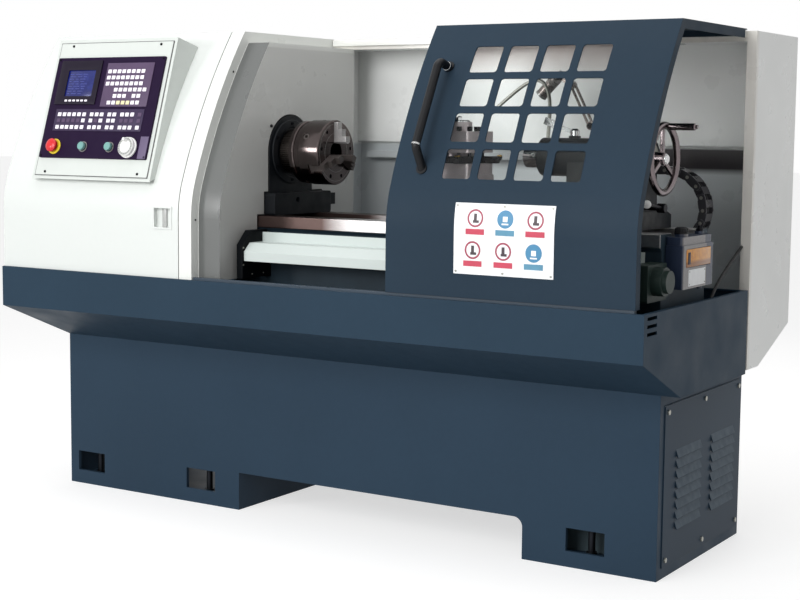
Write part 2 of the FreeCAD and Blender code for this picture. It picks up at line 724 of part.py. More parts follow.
def belt_loop(out):
    big_r = s.big_pulley_r + out
    small_r = s.small_pulley_r + out
    c, n = math.cos(tilt), math.sin(tilt)
    return [
        (ay - small_r * c, s.motor_axis_z - small_r * n),
        ("arc", (ay, s.motor_axis_z - small_r),
         (ay + small_r * c, s.motor_axis_z - small_r * n)),
        (ay + big_r * c, az - big_r * n),
        ("arc", (ay, az + big_r), (ay - big_r * c, az - big_r * n))]


belt = Body("drive_belt")
belt.pad("x", s.pulley_start + 4, s.pulley_start + s.pulley_wide - 4,
         [belt_loop(s.belt_gap + s.belt_tall), belt_loop(s.belt_gap)],
         length="pulley_wide - 8")
finish(belt)

# ---- main motor -----------------------------------------------------

motor = Body("main_motor")
mr = s.motor_r
m0, m1 = s.motor_start, s.motor_end
motor.revolve("x", [
    (m0, 0), (m0, mr - 20), (m0 + 14, mr), (m0 + 34, mr),
    (m0 + 34, mr - 10), (m1 - 60, mr - 10), (m1 - 60, mr),
    (m1 - 8, mr), (m1, mr - 10), (m1, 0)])
fin = motor.pad("x", m0 + 30, m1 - 58, [box_path(-2, 2, mr - 12, mr)])
motor.repeat(fin, 24, turn_axis="x")
mz = s.motor_foot_low - s.motor_axis_z
motor.pad("x", m0 + 50, m1 - 80, [box_path(
    -s.motor_foot_wide / 2, s.motor_foot_wide / 2, mz, mz + 14)])
motor.pad("x", m0 + 70, m1 - 100, [box_path(-60, 60, mz + 13, -mr + 16)])
motor.pad("x", m0 + 100, m0 + 210, [box_path(-50, 50, mr - 12, mr + 46, 8)])
motor.cut("x", m0, m0 + 130, [], [
    (0, 0, s.motor_shaft_r + s.run_gap, "motor_shaft_r + run_gap")])
finish(motor, y="axis_y", z="motor_axis_z")

# ---- coolant tank with its pump -------------------------------------

tw = s.tank_wall
tank_low = s.foot_floor
lid = s.tank_top - tw
pump_x = s.tank_start + 90
pump_y = s.tank_back - 90
tank = carve(fuse([
    carve(block(s.tank_start, s.tank_end, s.tank_front, s.tank_back,
                tank_low, s.tank_top, "tank_top - foot_floor"),
          [block(s.tank_start + tw, s.tank_end - tw, s.tank_front + tw,
                 s.tank_back - tw, tank_low + tw, lid)]),
    rod(pump_x, pump_y, lid + 1, "z", s.pump_r, s.pump_tall, "pump_r"),
    rod(pump_x, pump_y, lid - 150, "z", s.pump_r / 2, 152)]),
    [block(s.tank_start + 160, s.tank_end - 30, s.tank_back - 200,
           s.tank_back - 40, lid - 1, s.tank_top + 1)], "coolant_tank")
finish(tank)

# ---- chuck: adapter plate, body, scroll, three jaws, three pinions --

plate = Body("chuck_plate")
p0, p1, pr = s.plate_start, s.plate_end, s.plate_r
plate.revolve("x", [
    (p0, s.chuck_bore_r), (p0, pr - 4), (p0 + 3, pr), (p1 - 3, pr),
    (p1, pr - 3), (p1, s.chuck_bore_r)])
bolt = plate.cut("x", p0, p0 + 9, [], [(pr - 14, 0, 8)])
plate.repeat(bolt, 6, turn_axis="x")
finish(plate, y="axis_y", z="axis_z")

c0, c1, cr = s.chuck_start, s.chuck_end, s.chuck_r
step = c0 + s.chuck_step
chuck = Body("chuck_body")
chuck.revolve("x", [
    (c0, s.chuck_bore_r), (c0, s.chuck_step_r), (step, s.chuck_step_r),
    (step, cr - 2), (step + 2, cr), (c1 - 3, cr), (c1, cr - 3),
    (c1, s.chuck_bore_r)])
# closed ring of space for the scroll
g0, g1 = s.scroll_start - s.scroll_gap, s.scroll_end + s.scroll_gap
gap_r = s.scroll_r + s.scroll_gap
chuck.groove("x", [
    (g0, s.scroll_bore_r - s.run_gap), (g0, gap_r), (g1, gap_r),
    (g1, s.scroll_bore_r - s.run_gap)])
# tee slots for the jaws, open on the face and the rim
root = s.scroll_end + s.scroll_gap + s.jaw_root
jg = s.jaw_slot_gap
narrow = s.jaw_wide / 2 + jg
wide = s.jaw_root_wide / 2 + jg
tee = [(-wide, g1 - 1), (wide, g1 - 1), (wide, root + jg),
       (narrow, root + jg), (narrow, c1 + 1), (-narrow, c1 + 1),
       (-narrow, root + jg), (-wide, root + jg)]
tee_cut = chuck.cut("z", 0, cr + 2,
                    [[(x, y) for y, x in tee]])
chuck.repeat(tee_cut, 3, turn_axis="x")
# pinion sockets between the jaws, seen as key holes on the rim
pinion_x = (s.scroll_start + s.scroll_end) / 2
pin_hole = chuck.cut("z", -cr - 2, s.pinion_fit - s.pinion_in, [], [
    (pinion_x, 0, s.pinion_r + s.pinion_fit, "pinion_r + pinion_fit")])
chuck.repeat(pin_hole, 3, turn_axis="x")
for lean in (-22, 22):
    a = math.radians(150 + lean)
    bolt = chuck.cut("x", c1 - 7, c1, [], [
        (s.scroll_r * math.cos(a), s.scroll_r * math.sin(a), 6)])
    chuck.repeat(bolt, 3, turn_axis="x")
finish(chuck, y="axis_y", z="axis_z")

scroll = Body("chuck_scroll")
q0, q1 = s.scroll_start, s.scroll_end
scroll.revolve("x", [
    (q0, s.scroll_bore_r), (q0, s.scroll_r - 6), (q0 + 6, s.scroll_r),
    (q1, s.scroll_r), (q1, s.scroll_bore_r)])
for k in range(5):
    r0 = s.scroll_bore_r + 5 + 7 * k
    scroll.groove("x", [(q1 - 3, r0), (q1 - 3, r0 + 3), (q1 + 1, r0 + 3),
                        (q1 + 1, r0)])
finish(scroll, y="axis_y", z="axis_z")


def jaw(label, number):
    # a stepped jaw: a tee root in the slot and three steps outside
    j = Body(label)
    a = s.jaw_root_wide / 2
    b = s.jaw_wide / 2
    x_in = s.scroll_end + s.scroll_gap
    j.pad("z", s.jaw_in, s.jaw_out, [box_path(x_in, root, -a, a)])
    j.pad("z", s.jaw_in, s.jaw_out, [box_path(root - 1, c1 + 2, -b, b)])
    x = c1 + 2
    high = s.jaw_out
    for tall in (s.jaw_third, s.jaw_second, s.jaw_first):
        j.pad("z", s.jaw_in, high, [box_path(x - 1, x + tall, -b, b)])
        x = x + tall
        high = high - 22
    # the nose of the jaw meets the work at a blunt vee
    for side in (-1, 1):
        j.cut("x", x_in - 1, x + 1, [[
            (side * (b + 6), s.jaw_in - 1), (side * 3, s.jaw_in - 1),
            (side * (b + 6), s.jaw_in + 9)]])
    turn = FreeCAD.Rotation(V(1, 0, 0), 120.0 * number)
    finish(j, y="axis_y", z="axis_z", turn=turn)


def pinion(label, number):
    # a bevel pinion lies on a radius, its square socket outwards
    j = Body(label)
    j.revolve("z", [
        (0, -s.pinion_out), (s.pinion_r - 1, -s.pinion_out),
        (s.pinion_r, 1 - s.pinion_out),
        (s.pinion_r, -s.pinion_in - s.pinion_nose),
        (s.pinion_r - s.pinion_nose, -s.pinion_in), (0, -s.pinion_in)])
    k = s.key_square / 2
    j.cut("z", -s.pinion_out, -s.pinion_out + s.key_deep,
          [box_path(-k, k, -k, k)])
    spin = FreeCAD.Rotation(V(1, 0, 0), 120.0 * number)
    finish(j, x="(scroll_start + scroll_end) / 2", y="axis_y", z="axis_z",
           turn=spin)


for n in range(3):
    jaw("chuck_jaw_%d" % (n + 1), n)
    pinion("chuck_pinion_%d" % (n + 1), n)

# ---- carriage -------------------------------------------------------

sx0 = s.saddle_start
sx1 = sx0 + s.saddle_long
fit = s.way_fit
saddle = Body("carriage_saddle")
saddle.pad("x", sx0, sx1, [[
    (s.saddle_front, s.saddle_bridge - 40), (bf - s.way_out - fit,
                                             s.saddle_bridge - 40),
    (bf - s.way_out - fit, s.bed_top + fit),
    (bb + s.way_out + fit, s.bed_top + fit),
    (bb + s.way_out + fit, s.saddle_bridge - 40),
    (s.saddle_back, s.saddle_bridge - 40),
    (s.saddle_back, s.saddle_bridge + 24),
    (s.saddle_back - 14, s.saddle_top),
    (s.saddle_front + 14, s.saddle_top),
    (s.saddle_front, s.saddle_bridge + 24)]],
    length="saddle_long")
# the wings are longer than the bridge
mid = (sx0 + sx1) / 2
half = s.slide_long / 2 + 14
for a0, a1 in ((sx0, mid - half), (mid + half, sx1)):
    saddle.cut("z", s.saddle_bridge + 12, s.saddle_top,
               [box_path(a0, a1, s.saddle_front, s.saddle_back)])
# dovetail on top for the cross slide
dx = mid
dn, dw = s.tail_narrow / 2, s.tail_wide / 2
top = s.saddle_top
saddle.pad("y", s.saddle_front + 14, s.saddle_back - 14, [[
    (dx - dn, top - 1), (dx + dn, top - 1), (dx + dn, top),
    (dx + dw, top + s.tail_tall), (dx - dw, top + s.tail_tall),
    (dx - dn, top)]])
# a hanger reaches down behind the way cover to the screw's nut
nx0, nx1 = s.nut_start, s.nut_start + s.nut_long
hang_y = bf - s.way_out - 2
saddle.pad("x", nx0, nx1, [[
    (s.cover_top_y + 4, s.saddle_bridge - 30),
    (s.cover_top_y + 4, s.z_axis_z - 24),
    (hang_y, s.z_axis_z - 24), (hang_y, s.saddle_bridge - 30)]])
saddle.pad("x", nx0, nx1, [box_path(
    s.z_axis_y - 30, s.cover_top_y + 6, s.z_axis_z - 24,
    s.z_axis_z + 28)])
saddle.cut("x", nx0, nx1, [], [
    (s.z_axis_y, s.z_axis_z, s.z_screw_r + s.run_gap,
     "z_screw_r + run_gap")])
finish(saddle)

slide = Body("cross_slide")
l0 = s.slide_start
l1 = l0 + s.slide_long
slide.pad("y", s.slide_front, s.slide_back, [[
    (l0, top + fit), (dx - dn - fit, top + fit),
    (dx - dw - fit, top + s.tail_tall + fit),
    (dx + dw + fit, top + s.tail_tall + fit),
    (dx + dn + fit, top + fit), (l1, top + fit),
    (l1, s.slide_top), (l0, s.slide_top)]],
    length="slide_back - slide_front")
for tx in (l0 + 26, l1 - 26):
    slide.cut("y", s.slide_front, s.slide_back, [[
        (tx - 5, s.slide_top), (tx - 5, s.slide_top - 7),
        (tx - 9, s.slide_top - 7), (tx - 9, s.slide_top - 13),
        (tx + 9, s.slide_top - 13), (tx + 9, s.slide_top - 7),
        (tx + 5, s.slide_top - 7), (tx + 5, s.slide_top)]])
finish(slide)

xm = Body("x_motor")
hm = s.x_motor_half
my = s.saddle_back
xz = s.saddle_bridge - 8
xm.pad("y", my, my + 16, [box_path(mid - hm - 4, mid + hm + 4,
                                   xz - hm, xz + hm, 6)])
xm.pad("y", my + 15, my + s.x_motor_long - 30, [box_path(
    mid - hm, mid + hm, xz - hm + 2, xz + hm - 2, 8)],
    length="x_motor_long - 45")
xm.pad("y", my + s.x_motor_long - 31, my + s.x_motor_long, [],
       [(mid, xz, hm - 8)])
xm.pad("z", xz + hm - 5, xz + hm + 20, [box_path(
    mid - 14, mid + 14, my + 56, my + 86, 4)])
finish(xm)

# ---- four-way turret ------------------------------------------------

px, py, ph = s.post_x, s.post_y, s.post_half
post = Body("tool_post")
post.pad("z", s.slide_top, s.post_top, [box_path(
    px - ph, px + ph, py - ph, py + ph, 10)],
    length="post_top - slide_top")
post.pad("z", s.post_top - 1, s.turret_top - 12, [],
         [(px, py, s.turret_pin_r, "turret_pin_r")])
post.pad("x", px - ph - 30, px - ph + 1, [box_path(
    py - 34, py + 34, s.slide_top, s.post_top - 6, 4)])
finish(post)

th = s.turret_half
turret = Body("turret_head")
tz0 = s.post_top + s.turret_gap
turret.pad("z", tz0, s.turret_top, [box_path(-th, th, -th, th, 6)],
           length="turret_top - post_top - turret_gap")
turret.pad("z", s.turret_top - 1, s.turret_top + 26, [], [(0, 0, 40)])
turret.cut("z", tz0, s.turret_top - 8, [], [
    (0, 0, s.turret_pin_r + s.run_gap, "turret_pin_r + run_gap")])
t0, t1 = s.turret_slot_low, s.turret_slot_low + s.turret_slot_tall
td = th - s.turret_slot_deep
side_slot = turret.cut("x", -th, th + 1, [box_path(td, th + 1, t0, t1)])
turret.repeat(side_slot, 4, turn_axis="z")
screw = turret.cut("z", t1, s.turret_top, [], [
    (-th / 2, th - 15, 6), (0, th - 15, 6), (th / 2, th - 15, 6)])
turret.repeat(screw, 4, turn_axis="z")
finish(turret, x="post_x", y="post_y")

# four square shanks lie in the turret's slots, three screws on each
tool_list = []
shank = s.tool_size
for k in range(4):
    y0 = td + 0.2
    parts = [prism("y", y0, y0 + shank, [
        (-th + 32, t0), (th + s.tool_out - 10, t0),
        (th + s.tool_out, t0 + shank - 5),
        (th + s.tool_out, t0 + shank), (-th + 32, t0 + shank)])]
    for x in (-th / 2, 0, th / 2):
        parts.append(rod(x, th - 15, t0 + shank - 1, "z", 5,
                         s.turret_top - t0 - shank + 3))
        parts.append(block(x - 5.5, x + 5.5, th - 20.5, th - 9.5,
                           s.turret_top + 1, s.turret_top + 13))
    grip = fuse(parts)
    grip.Placement = FreeCAD.Placement(
        V(0, 0, 0), FreeCAD.Rotation(V(0, 0, 1), 90.0 * k))
    tool_list.append(grip)
group = doc.addObject("Part::Compound", "cutting_tools")
group.Links = tool_list
finish(name_it(group, "cutting_tools"), x="post_x", y="post_y")

# ---- z drive --------------------------------------------------------

b0 = s.bracket_start
b1 = b0 + s.bracket_wide
zr = s.z_screw_end_r
bracket = Body("way_cover_bracket")
bracket.pad("x", b0, b1, [[
    (s.bracket_front, s.bracket_low), (bf + 10, s.bracket_low),
    (bf + 10, way_low - 14), (s.cover_top_y + 22, way_low - 14),
    (s.cover_top_y + 22, s.bracket_top),
    (s.bracket_front + s.bracket_slope, s.bracket_top),
    (s.bracket_front, s.bracket_top - s.bracket_slope)]],
    length="bracket_wide")
bracket.cut("x", b0 + 6, b1, [], [
    (s.z_axis_y, s.z_axis_z, zr + s.run_gap, "z_screw_end_r + run_gap")])
finish(bracket)

m0, m1 = s.way_cover_end + 5, s.z_motor_end
zmh = s.z_motor_half
drive = Body("z_motor")
drive.pad("x", s.way_cover_end, s.z_block_end, [box_path(
    s.z_axis_y - zmh, bf + 10, s.z_axis_z - zmh - 6,
    s.z_axis_z + zmh - 8, 5)], length="z_block_end - way_cover_end")
drive.pad("x", s.z_block_end - 1, m1 - 12, [],
          [(s.z_axis_y, s.z_axis_z - 2, s.z_motor_r, "z_motor_r")])
drive.pad("x", m1 - 13, m1, [], [(s.z_axis_y, s.z_axis_z - 2,
                                  s.z_motor_r - 8)])
drive.cut("x", s.way_cover_end, s.z_block_end - 12, [], [
    (s.z_axis_y, s.z_axis_z, zr + s.run_gap, "z_screw_end_r + run_gap")])
finish(drive)

screw = Body("z_screw")
screw.revolve("x", [
    (b0 + 8, 0), (b0 + 8, zr), (b1 + 1, zr), (b1 + 1, s.z_screw_r),
    (s.way_cover_end - 1, s.z_screw_r), (s.way_cover_end - 1, zr),
    (s.z_block_end - 16, zr), (s.z_block_end - 16, 0)])
finish(screw, y="z_axis_y", z="z_axis_z")

t = 2.0
cover = Body("way_cover")
ty, ly, ny = s.cover_top_y, s.cover_ledge_y, s.cover_nose_y
cover.pad("x", b1, s.way_cover_end, [[
    (ty, s.cover_band_top), (ty - t, s.cover_band_top),
    (ty - t, s.cover_band_low), (ly, s.cover_band_low),
    (ny, s.cover_nose_z), (ny, s.cover_skirt),
    (ny + t, s.cover_skirt), (ny + t, s.cover_nose_z - 1),
    (ly + 1, s.cover_band_low - t), (ty, s.cover_band_low - t)]],
    length="way_cover_end - bracket_start - bracket_wide")
finish(cover)

# ---- tailstock ------------------------------------------------------

ts0, ts1 = s.tail_start, s.tail_end
br = s.barrel_r
neck = s.tail_neck / 2
tail = Body("tailstock_body")
tail.pad("x", ts0, ts1, [[
    (s.tail_front, s.bed_top + fit), (s.tail_back, s.bed_top + fit),
    (s.tail_back, s.tail_base_top - 14), (s.tail_back - 40,
                                          s.tail_base_top),
    (s.tail_front + 40, s.tail_base_top),
    (s.tail_front, s.tail_base_top - 14)]], length="tail_end - tail_start")
tail.pad("x", ts0 + 8, ts1 - 8, [[
    (ay - neck, s.tail_base_top - 1), (ay + neck, s.tail_base_top - 1),
    (ay + br - 2, az), (ay - br + 2, az)]])
tail.pad("x", s.barrel_start, ts1, [], [(ay, az, br, "barrel_r")])
tail.pad("z", az + br - 10, az + br + 6, [], [(s.lever_x, ay, 17)])
tail.cut("x", s.barrel_start, ts1 - 44, [], [
    (ay, az, s.quill_r + s.run_gap, "quill_r + run_gap")])
tail.cut("x", ts1 - 45, ts1, [], [
    (ay, az, s.wheel_shaft_r + s.run_gap, "wheel_shaft_r + run_gap")])
tail.cut("z", az + br - 12, az + br + 6, [], [
    (s.lever_x, ay, s.lever_r + 4 + s.run_gap)])
finish(tail)

quill = Body("quill")
ws = s.wheel_shaft_r + s.run_gap
quill.revolve("x", [
    (s.quill_tip, s.quill_bore_r + 3.6), (s.quill_tip, s.quill_r - 2),
    (s.quill_tip + 2, s.quill_r), (s.quill_end, s.quill_r),
    (s.quill_end, ws), (s.quill_end - 160, ws),
    (s.quill_end - 200, s.quill_bore_r), (s.quill_tip + 110,
                                          s.quill_bore_r)])
finish(quill, y="axis_y", z="axis_z")

wheel = Body("handwheel")
wx, wr, rr = s.wheel_x, s.wheel_r, s.wheel_rim_r
wheel.revolve("x", [
    (s.quill_end - 150, 0), (s.quill_end - 150, s.wheel_shaft_r),
    (ts1 + 0.5, s.wheel_shaft_r), (ts1 + 0.5, s.hub_r + 4),
    (ts1 + 8, s.hub_r), (wx, s.hub_r - 2), (wx + 3, s.hub_r - 6),
    (wx + 3, 0)])
spoke = wheel.pad("z", s.hub_r - 8, wr - rr / 2,
                  [box_path(wx - 15, wx - 4, -7, 7, 3)])
wheel.repeat(spoke, 3, turn_axis="x")
rim0 = wx - rr - 4
wheel.revolve("x", [
    (rim0, wr), ("arc", (rim0 + rr, wr + rr), (rim0 + 2 * rr, wr)),
    ("arc", (rim0 + rr, wr - rr), (rim0, wr))])
gx0 = rim0 + 2 * rr
wheel.pad("x", gx0 - rr, gx0 + s.grip_long + 3, [],
          [(0, wr - 4, s.grip_pin_r, "grip_pin_r")])
wheel.pad("x", gx0 + s.grip_long + 2, gx0 + s.grip_long + 5, [],
          [(0, wr - 4, s.grip_pin_r + 2)])
finish(wheel, y="axis_y", z="axis_z")

grip = Body("handwheel_grip")
gr, gp = s.grip_r, s.grip_pin_r + s.run_gap
grip.revolve("x", [
    (gx0 + 1, gp), (gx0 + 1, gr - 2), (gx0 + 4, gr),
    (gx0 + s.grip_long - 3, gr), (gx0 + s.grip_long, gr - 3),
    (gx0 + s.grip_long, gp)])
finish(grip, y="axis_y", z="axis_z + wheel_r - 4")

lever = Body("quill_lever")
lz = az + br
lr = s.lever_r
lever.revolve("z", [
    (0, lz - 10), (lr + 4, lz - 10), (lr + 4, lz + 6.5), (lr + 8, lz + 6.5),
    (lr + 8, lz + 20), (lr + 3, lz + 26), (0, lz + 26)])
rake = math.radians(20)
arm = [(math.cos(rake) * a - math.sin(rake) * b,
        math.sin(rake) * a + math.cos(rake) * b)
       for a, b in [(0, -lr), (s.lever_long - 32, -lr),
                    (s.lever_long - 32, -10), (s.lever_long + 4, -10),
                    (s.lever_long + 4, 10), (s.lever_long - 32, 10),
                    (s.lever_long - 32, lr), (0, lr)]]
lever.pad("y", -lr, lr, [[(-a, lz + 14 + b) for a, b in arm]])
finish(lever, x="lever_x", y="axis_y")

# ---- headstock cover ------------------------------------------------

L = s.overall_length
sk = s.skin
pull0, pull1 = s.pull_x, s.pull_x + s.pull_wide
pz0, pz1 = s.pull_low, s.pull_low + s.pull_tall
hood = carve(
    prism("x", 0, s.cover_end, skin_path(0, s.hood_back, s.tray_top)),
    [prism("x", sk, s.cover_end + 1,
           skin_path(sk, s.hood_back + 1, s.tray_top - 1))])
hood = fuse([hood, block(pull0 - sk, pull1 + sk, s.skin_front + 1,
                         s.skin_front + s.pull_deep + sk,
                         pz0 - sk, pz1 + sk),
             rod(1, ay, az, "x", s.bar_port_r + s.bar_port_lip,
                 s.bar_port_long)])
# bar stock reaches the spindle through a collared port in the end
hood = carve(hood, [block(pull0, pull1, s.skin_front - 1,
                          s.skin_front + s.pull_deep, pz0, pz1),
                    rod(-1, ay, az, "x", s.bar_port_r,
                        s.bar_port_long + 3, "bar_port_r")],
             "headstock_cover")
finish(hood)

# ---- opening rim and inner wall beside the headstock ----------------

r0, r1 = s.rim_start, s.rim_end
wall_x = s.wall_face
rim_in = s.rim_deep
gap = s.arch_gap
side = s.nose_r + gap
frame = carve(
    fuse([prism("x", r0, r1, skin_path(0, s.hood_back, s.tray_top)),
          prism("x", r1 - 1, wall_x,
                skin_path(rim_in, s.hood_back, s.tray_top))]),
    [prism("x", r0 - 1, r1 - sk,
           skin_path(sk, s.hood_back + 1, s.tray_top - 1)),
     prism("x", r1 - sk - 1, wall_x - sk,
           skin_path(rim_in + sk, s.hood_back + 1, s.tray_top - 1)),
     prism("x", wall_x - sk - 1, wall_x + 1, [
         (bf - 2 * gap, s.tray_top - 1), (bb + 2 * gap, s.tray_top - 1),
         (bb + 2 * gap, lug_low - gap), (bb + s.lug_out + gap, lug_low - gap),
         (bb + s.lug_out + gap, lug_top + gap), (bb + 2 * gap, lug_top + gap),
         (bb + 2 * gap, s.foot_top + gap), (ay + side, s.foot_top + gap),
         (ay + side, az), ("arc", (ay, az + side), (ay - side, az)),
         (ay - side, s.foot_top + gap), (s.foot_front - gap, s.foot_top + gap),
         (s.foot_front - gap, s.bed_top + gap),
         (bf - 2 * gap, s.bed_top + gap)])],
    "headstock_wall")
finish(frame)

# ---- sliding door ---------------------------------------------------

d0 = s.door_start
d1 = d0 + s.door_long
far = s.door_back
lip = s.door_lip
low = s.door_low


def skin_plane(x, along, out):
    # a sketch plane lying on the skin, its normal outwards
    y, z, a = skin_point(along, out)
    return FreeCAD.Placement(V(x, y, z), FreeCAD.Rotation(
        V(1, 0, 0), 90 - math.degrees(a)))


def skin_tool(x, along, points, low_out, high_out):
    k = doc.addObject("Sketcher::SketchObject", "window")
    k.Placement = skin_plane(x, along, low_out)
    draw(k, points)
    e = doc.addObject("Part::Extrusion", "window_tool")
    e.Base = k
    e.DirMode = "Normal"
    e.LengthFwd = high_out - low_out
    e.Solid = True
    return e


h = s.pane_size / 2
windows = [
    skin_tool(s.pane_first_x + i * s.pane_pitch_x,
              s.pane_first_s + k * s.pane_pitch_s,
              box_path(-h, h, -h, h, s.pane_corner), -lip, lip)
    for i in range(int(s.pane_cols)) for k in range(int(s.pane_cols))]
shell = carve(
    prism("x", d0, d1, skin_path(0, far, low)),
    [prism("x", d0 + sk, d1 - sk, skin_path(sk, far + 1, low + sk)),
     prism("x", d0 - 1, d1 + 1, skin_path(lip, far + 1, low - 1)),
     block(d0 - 1, d1 + 1, s.hook_y, far + 1, low - 1,
           s.overall_height - sk)] + windows)
door = fuse([shell, block(d0, d1, s.hook_y - sk, s.hook_y,
                          s.overall_height - s.hook_drop,
                          s.overall_height - 1)])
door.Label = "sliding_door"
finish(door)

# clear sheet behind the windows
e0 = s.pane_first_s - h - s.pane_edge
e1 = s.pane_first_s + (s.pane_cols - 1) * s.pane_pitch_s + h + s.pane_edge
em = (e0 + e1) / 2
near = -sk - 0.3
deep = near - s.pane_thick
pane = Body("window_pane")
pane.pad("x", s.pane_first_x - h - s.pane_edge,
         s.pane_first_x + (s.pane_cols - 1) * s.pane_pitch_x + h
         + s.pane_edge, [[
             skin_point(e0, near)[:2],
             ("arc", skin_point(em, near)[:2], skin_point(e1, near)[:2]),
             skin_point(e1, deep)[:2],
             ("arc", skin_point(em, deep)[:2], skin_point(e0, deep)[:2])]])
finish(pane)

# bar handle, bent back to the door at both ends
out = s.handle_out
hr = s.handle_r
spine = [skin_point(s.handle_high_s, -8)[:2],
         skin_point(s.handle_bar_high_s, out)[:2],
         skin_point(s.handle_bar_low_s, out)[:2],
         skin_point(s.handle_low_s, -8)[:2]]
track = doc.addObject("Sketcher::SketchObject", "handle_track")
track.Placement = FreeCAD.Placement(
    V(s.handle_x, 0, 0), FreeCAD.Rotation(V(1, 1, 1), 120))
bends = [spine[0], spine[1] + (s.handle_bend,),
         spine[2] + (s.handle_bend,), spine[3]]
track.addGeometry(path_edges(bends)[:-1], False)
hoop = doc.addObject("Part::Circle", "handle_section")
hoop.Radius = hr
tie(hoop, "Radius", "handle_r")
first = V(0, spine[0][0], spine[0][1])
way = V(0, spine[1][0], spine[1][1]) - first
hoop.Placement = FreeCAD.Placement(
    V(s.handle_x, spine[0][0], spine[0][1]),
    FreeCAD.Rotation(V(0, 0, 1), way))
doc.recompute()
sweep = doc.addObject("Part::Sweep", "handle_sweep")
sweep.Sections = [hoop]
sweep.Spine = (track, ["Edge%d" % (k + 1)
                       for k in range(len(track.Shape.Edges))])
sweep.Solid = True
sweep.Frenet = False
feet = []
for along in (s.handle_high_s, s.handle_low_s + 4):
    y, z, a = skin_point(along, -6)
    foot = rod(s.handle_x, y, z, "z", hr + 4, 10)
    foot.Placement.Rotation = FreeCAD.Rotation(
        V(0, 0, 1), V(0, -math.cos(a), math.sin(a)))
    feet.append(foot)
handle = carve(fuse([sweep] + feet), [prism(
    "x", d0, d1, skin_path(-0.3, far, low))], "door_handle")
finish(handle)

# thin plate for pictures of safe working, on the door's lower half
st = s.sign_thick
q0 = s.sign_low
top_s = s.sign_low + s.sign_tall - s.bend_start
sign = Body("sign_plate")
sign.pad("x", s.sign_start, s.sign_start + s.sign_wide, [[
    (s.skin_front - 0.3, q0), (s.skin_front - 0.3, s.bend_start),
    ("arc", skin_point(top_s / 2, 0.3)[:2], skin_point(top_s, 0.3)[:2]),
    skin_point(top_s, 0.3 + st)[:2],
    ("arc", skin_point(top_s / 2, 0.3 + st)[:2],
     (s.skin_front - 0.3 - st, s.bend_start)),
    (s.skin_front - 0.3 - st, q0)]], length="sign_wide")
finish(sign)

# ---- two flat bars the door slides on -------------------------------

rail_x0, rail_x1 = s.rim_end + sk, s.overall_length - s.post_wide - sk
rail_z = s.overall_height - sk - s.rail_gap - s.rail_tall
low_z = s.door_low - s.rail_gap - s.rail_tall
rw = s.rail_wide
rails = doc.addObject("Part::Compound", "door_rails")
rails.Links = [
    block(rail_x0, rail_x1, s.rail_front, s.rail_front + rw, rail_z,
          rail_z + s.rail_tall, "rail_tall"),
    block(rail_x0, rail_x1, s.low_rail_y, s.low_rail_y + rw, low_z,
          low_z + s.rail_tall, "rail_tall")]
finish(name_it(rails, "door_rails"))

# ---- rear guard: folded sheet round the back of the work area -------

gf, gl = s.guard_front, s.guard_low
gt = s.overall_height - s.guard_drop
beam = s.overall_height - s.beam_drop
ab, pf = s.alcove_back, s.panel_front
ex = s.rim_end
cx = L - s.post_wide
sheets = [
    block(sk, ex + sk, gf, gf + sk, gl, gt),
    block(sk, 2 * sk, gf, ab, gl, gt),
    block(sk, L, gf, ab, gt - sk, gt),
    block(ex, ex + sk, gf, ab, gl, gt),
    block(ex, L, gf, gf + sk, beam, gt),
    block(ex, L, gf, pf + 1, beam, beam + sk),
    block(ex, cx + sk, pf, pf + sk, s.panel_low, beam + 1),
    block(ex, cx + sk, pf, ab, s.panel_low, s.panel_low + sk),
    block(sk, cx + sk, ab - sk, ab, gl, s.panel_low + 1),
    block(cx, cx + sk, gf, ab, gl, gt),
    block(cx, L, gf, gf + sk, gl, gt),
    block(2 * sk, cx, gf, s.guard_mid, gl, gl + sk),
    block(s.ledge_start, s.ledge_end, s.ledge_y, ab, s.ledge_low,
          s.ledge_top),
    prism("x", L - sk, L, [
        (gf, gl), (s.guard_mid, gl), (s.overall_depth, s.guard_rear_low),
        (s.overall_depth, gt), (gf, gt)]),
    block(2 * s.base_left, s.base_right - s.base_left, gf + 6,
          gf + 46, gl - s.guard_foot, gl + 1, "guard_foot + 1"),
]
guard = fuse(sheets)
guard.Label = "rear_guard"
finish(guard)

# ---- electrical cabinet behind the guard ----------------------------

slope = (s.guard_rear_low - gl) / (s.overall_depth - s.guard_mid)
ct = s.cabinet_sheet
cb = s.cabinet_back


def cabinet_path(t):
    y0, y1 = ab + t, cb - t
    return [(y0, gl + (y0 - s.guard_mid) * slope + t),
            (y1, gl + (y1 - s.guard_mid) * slope + t),
            (y1, gt - t), (y0, gt - t)]


o0, o1 = s.opening_start, s.opening_end
cab = carve(prism("x", 2 * sk, L - sk, cabinet_path(0)), [
    prism("x", 2 * sk + ct, L - sk - ct, cabinet_path(ct)),
    block(o0, o1, cb - ct - 1, cb + 1, s.opening_low, s.opening_top)])
pin_x = o0 - s.leaf_margin - s.hinge_r
pin_y = cb + 9
lugs = []
hinge_z = [s.opening_low + 90, s.opening_top - 130]
hp = s.hinge_pin_r
for z in hinge_z:
    lugs.append(rod(pin_x, pin_y, z - 14, "z", hp, 68, "hinge_pin_r"))
    lugs.append(rod(pin_x, pin_y, z - 14, "z", s.hinge_r - 1, 13))
    lugs.append(block(pin_x - 5, pin_x + 5, cb - 1, pin_y, z - 14, z - 1))
cab = fuse([cab] + lugs)
cab = carve(cab, [rod(s.switch_x, cb - ct - 1, s.switch_z, "y",
                      s.switch_pin_r + s.run_gap, ct + 2)],
            "electrical_cabinet")
finish(cab)

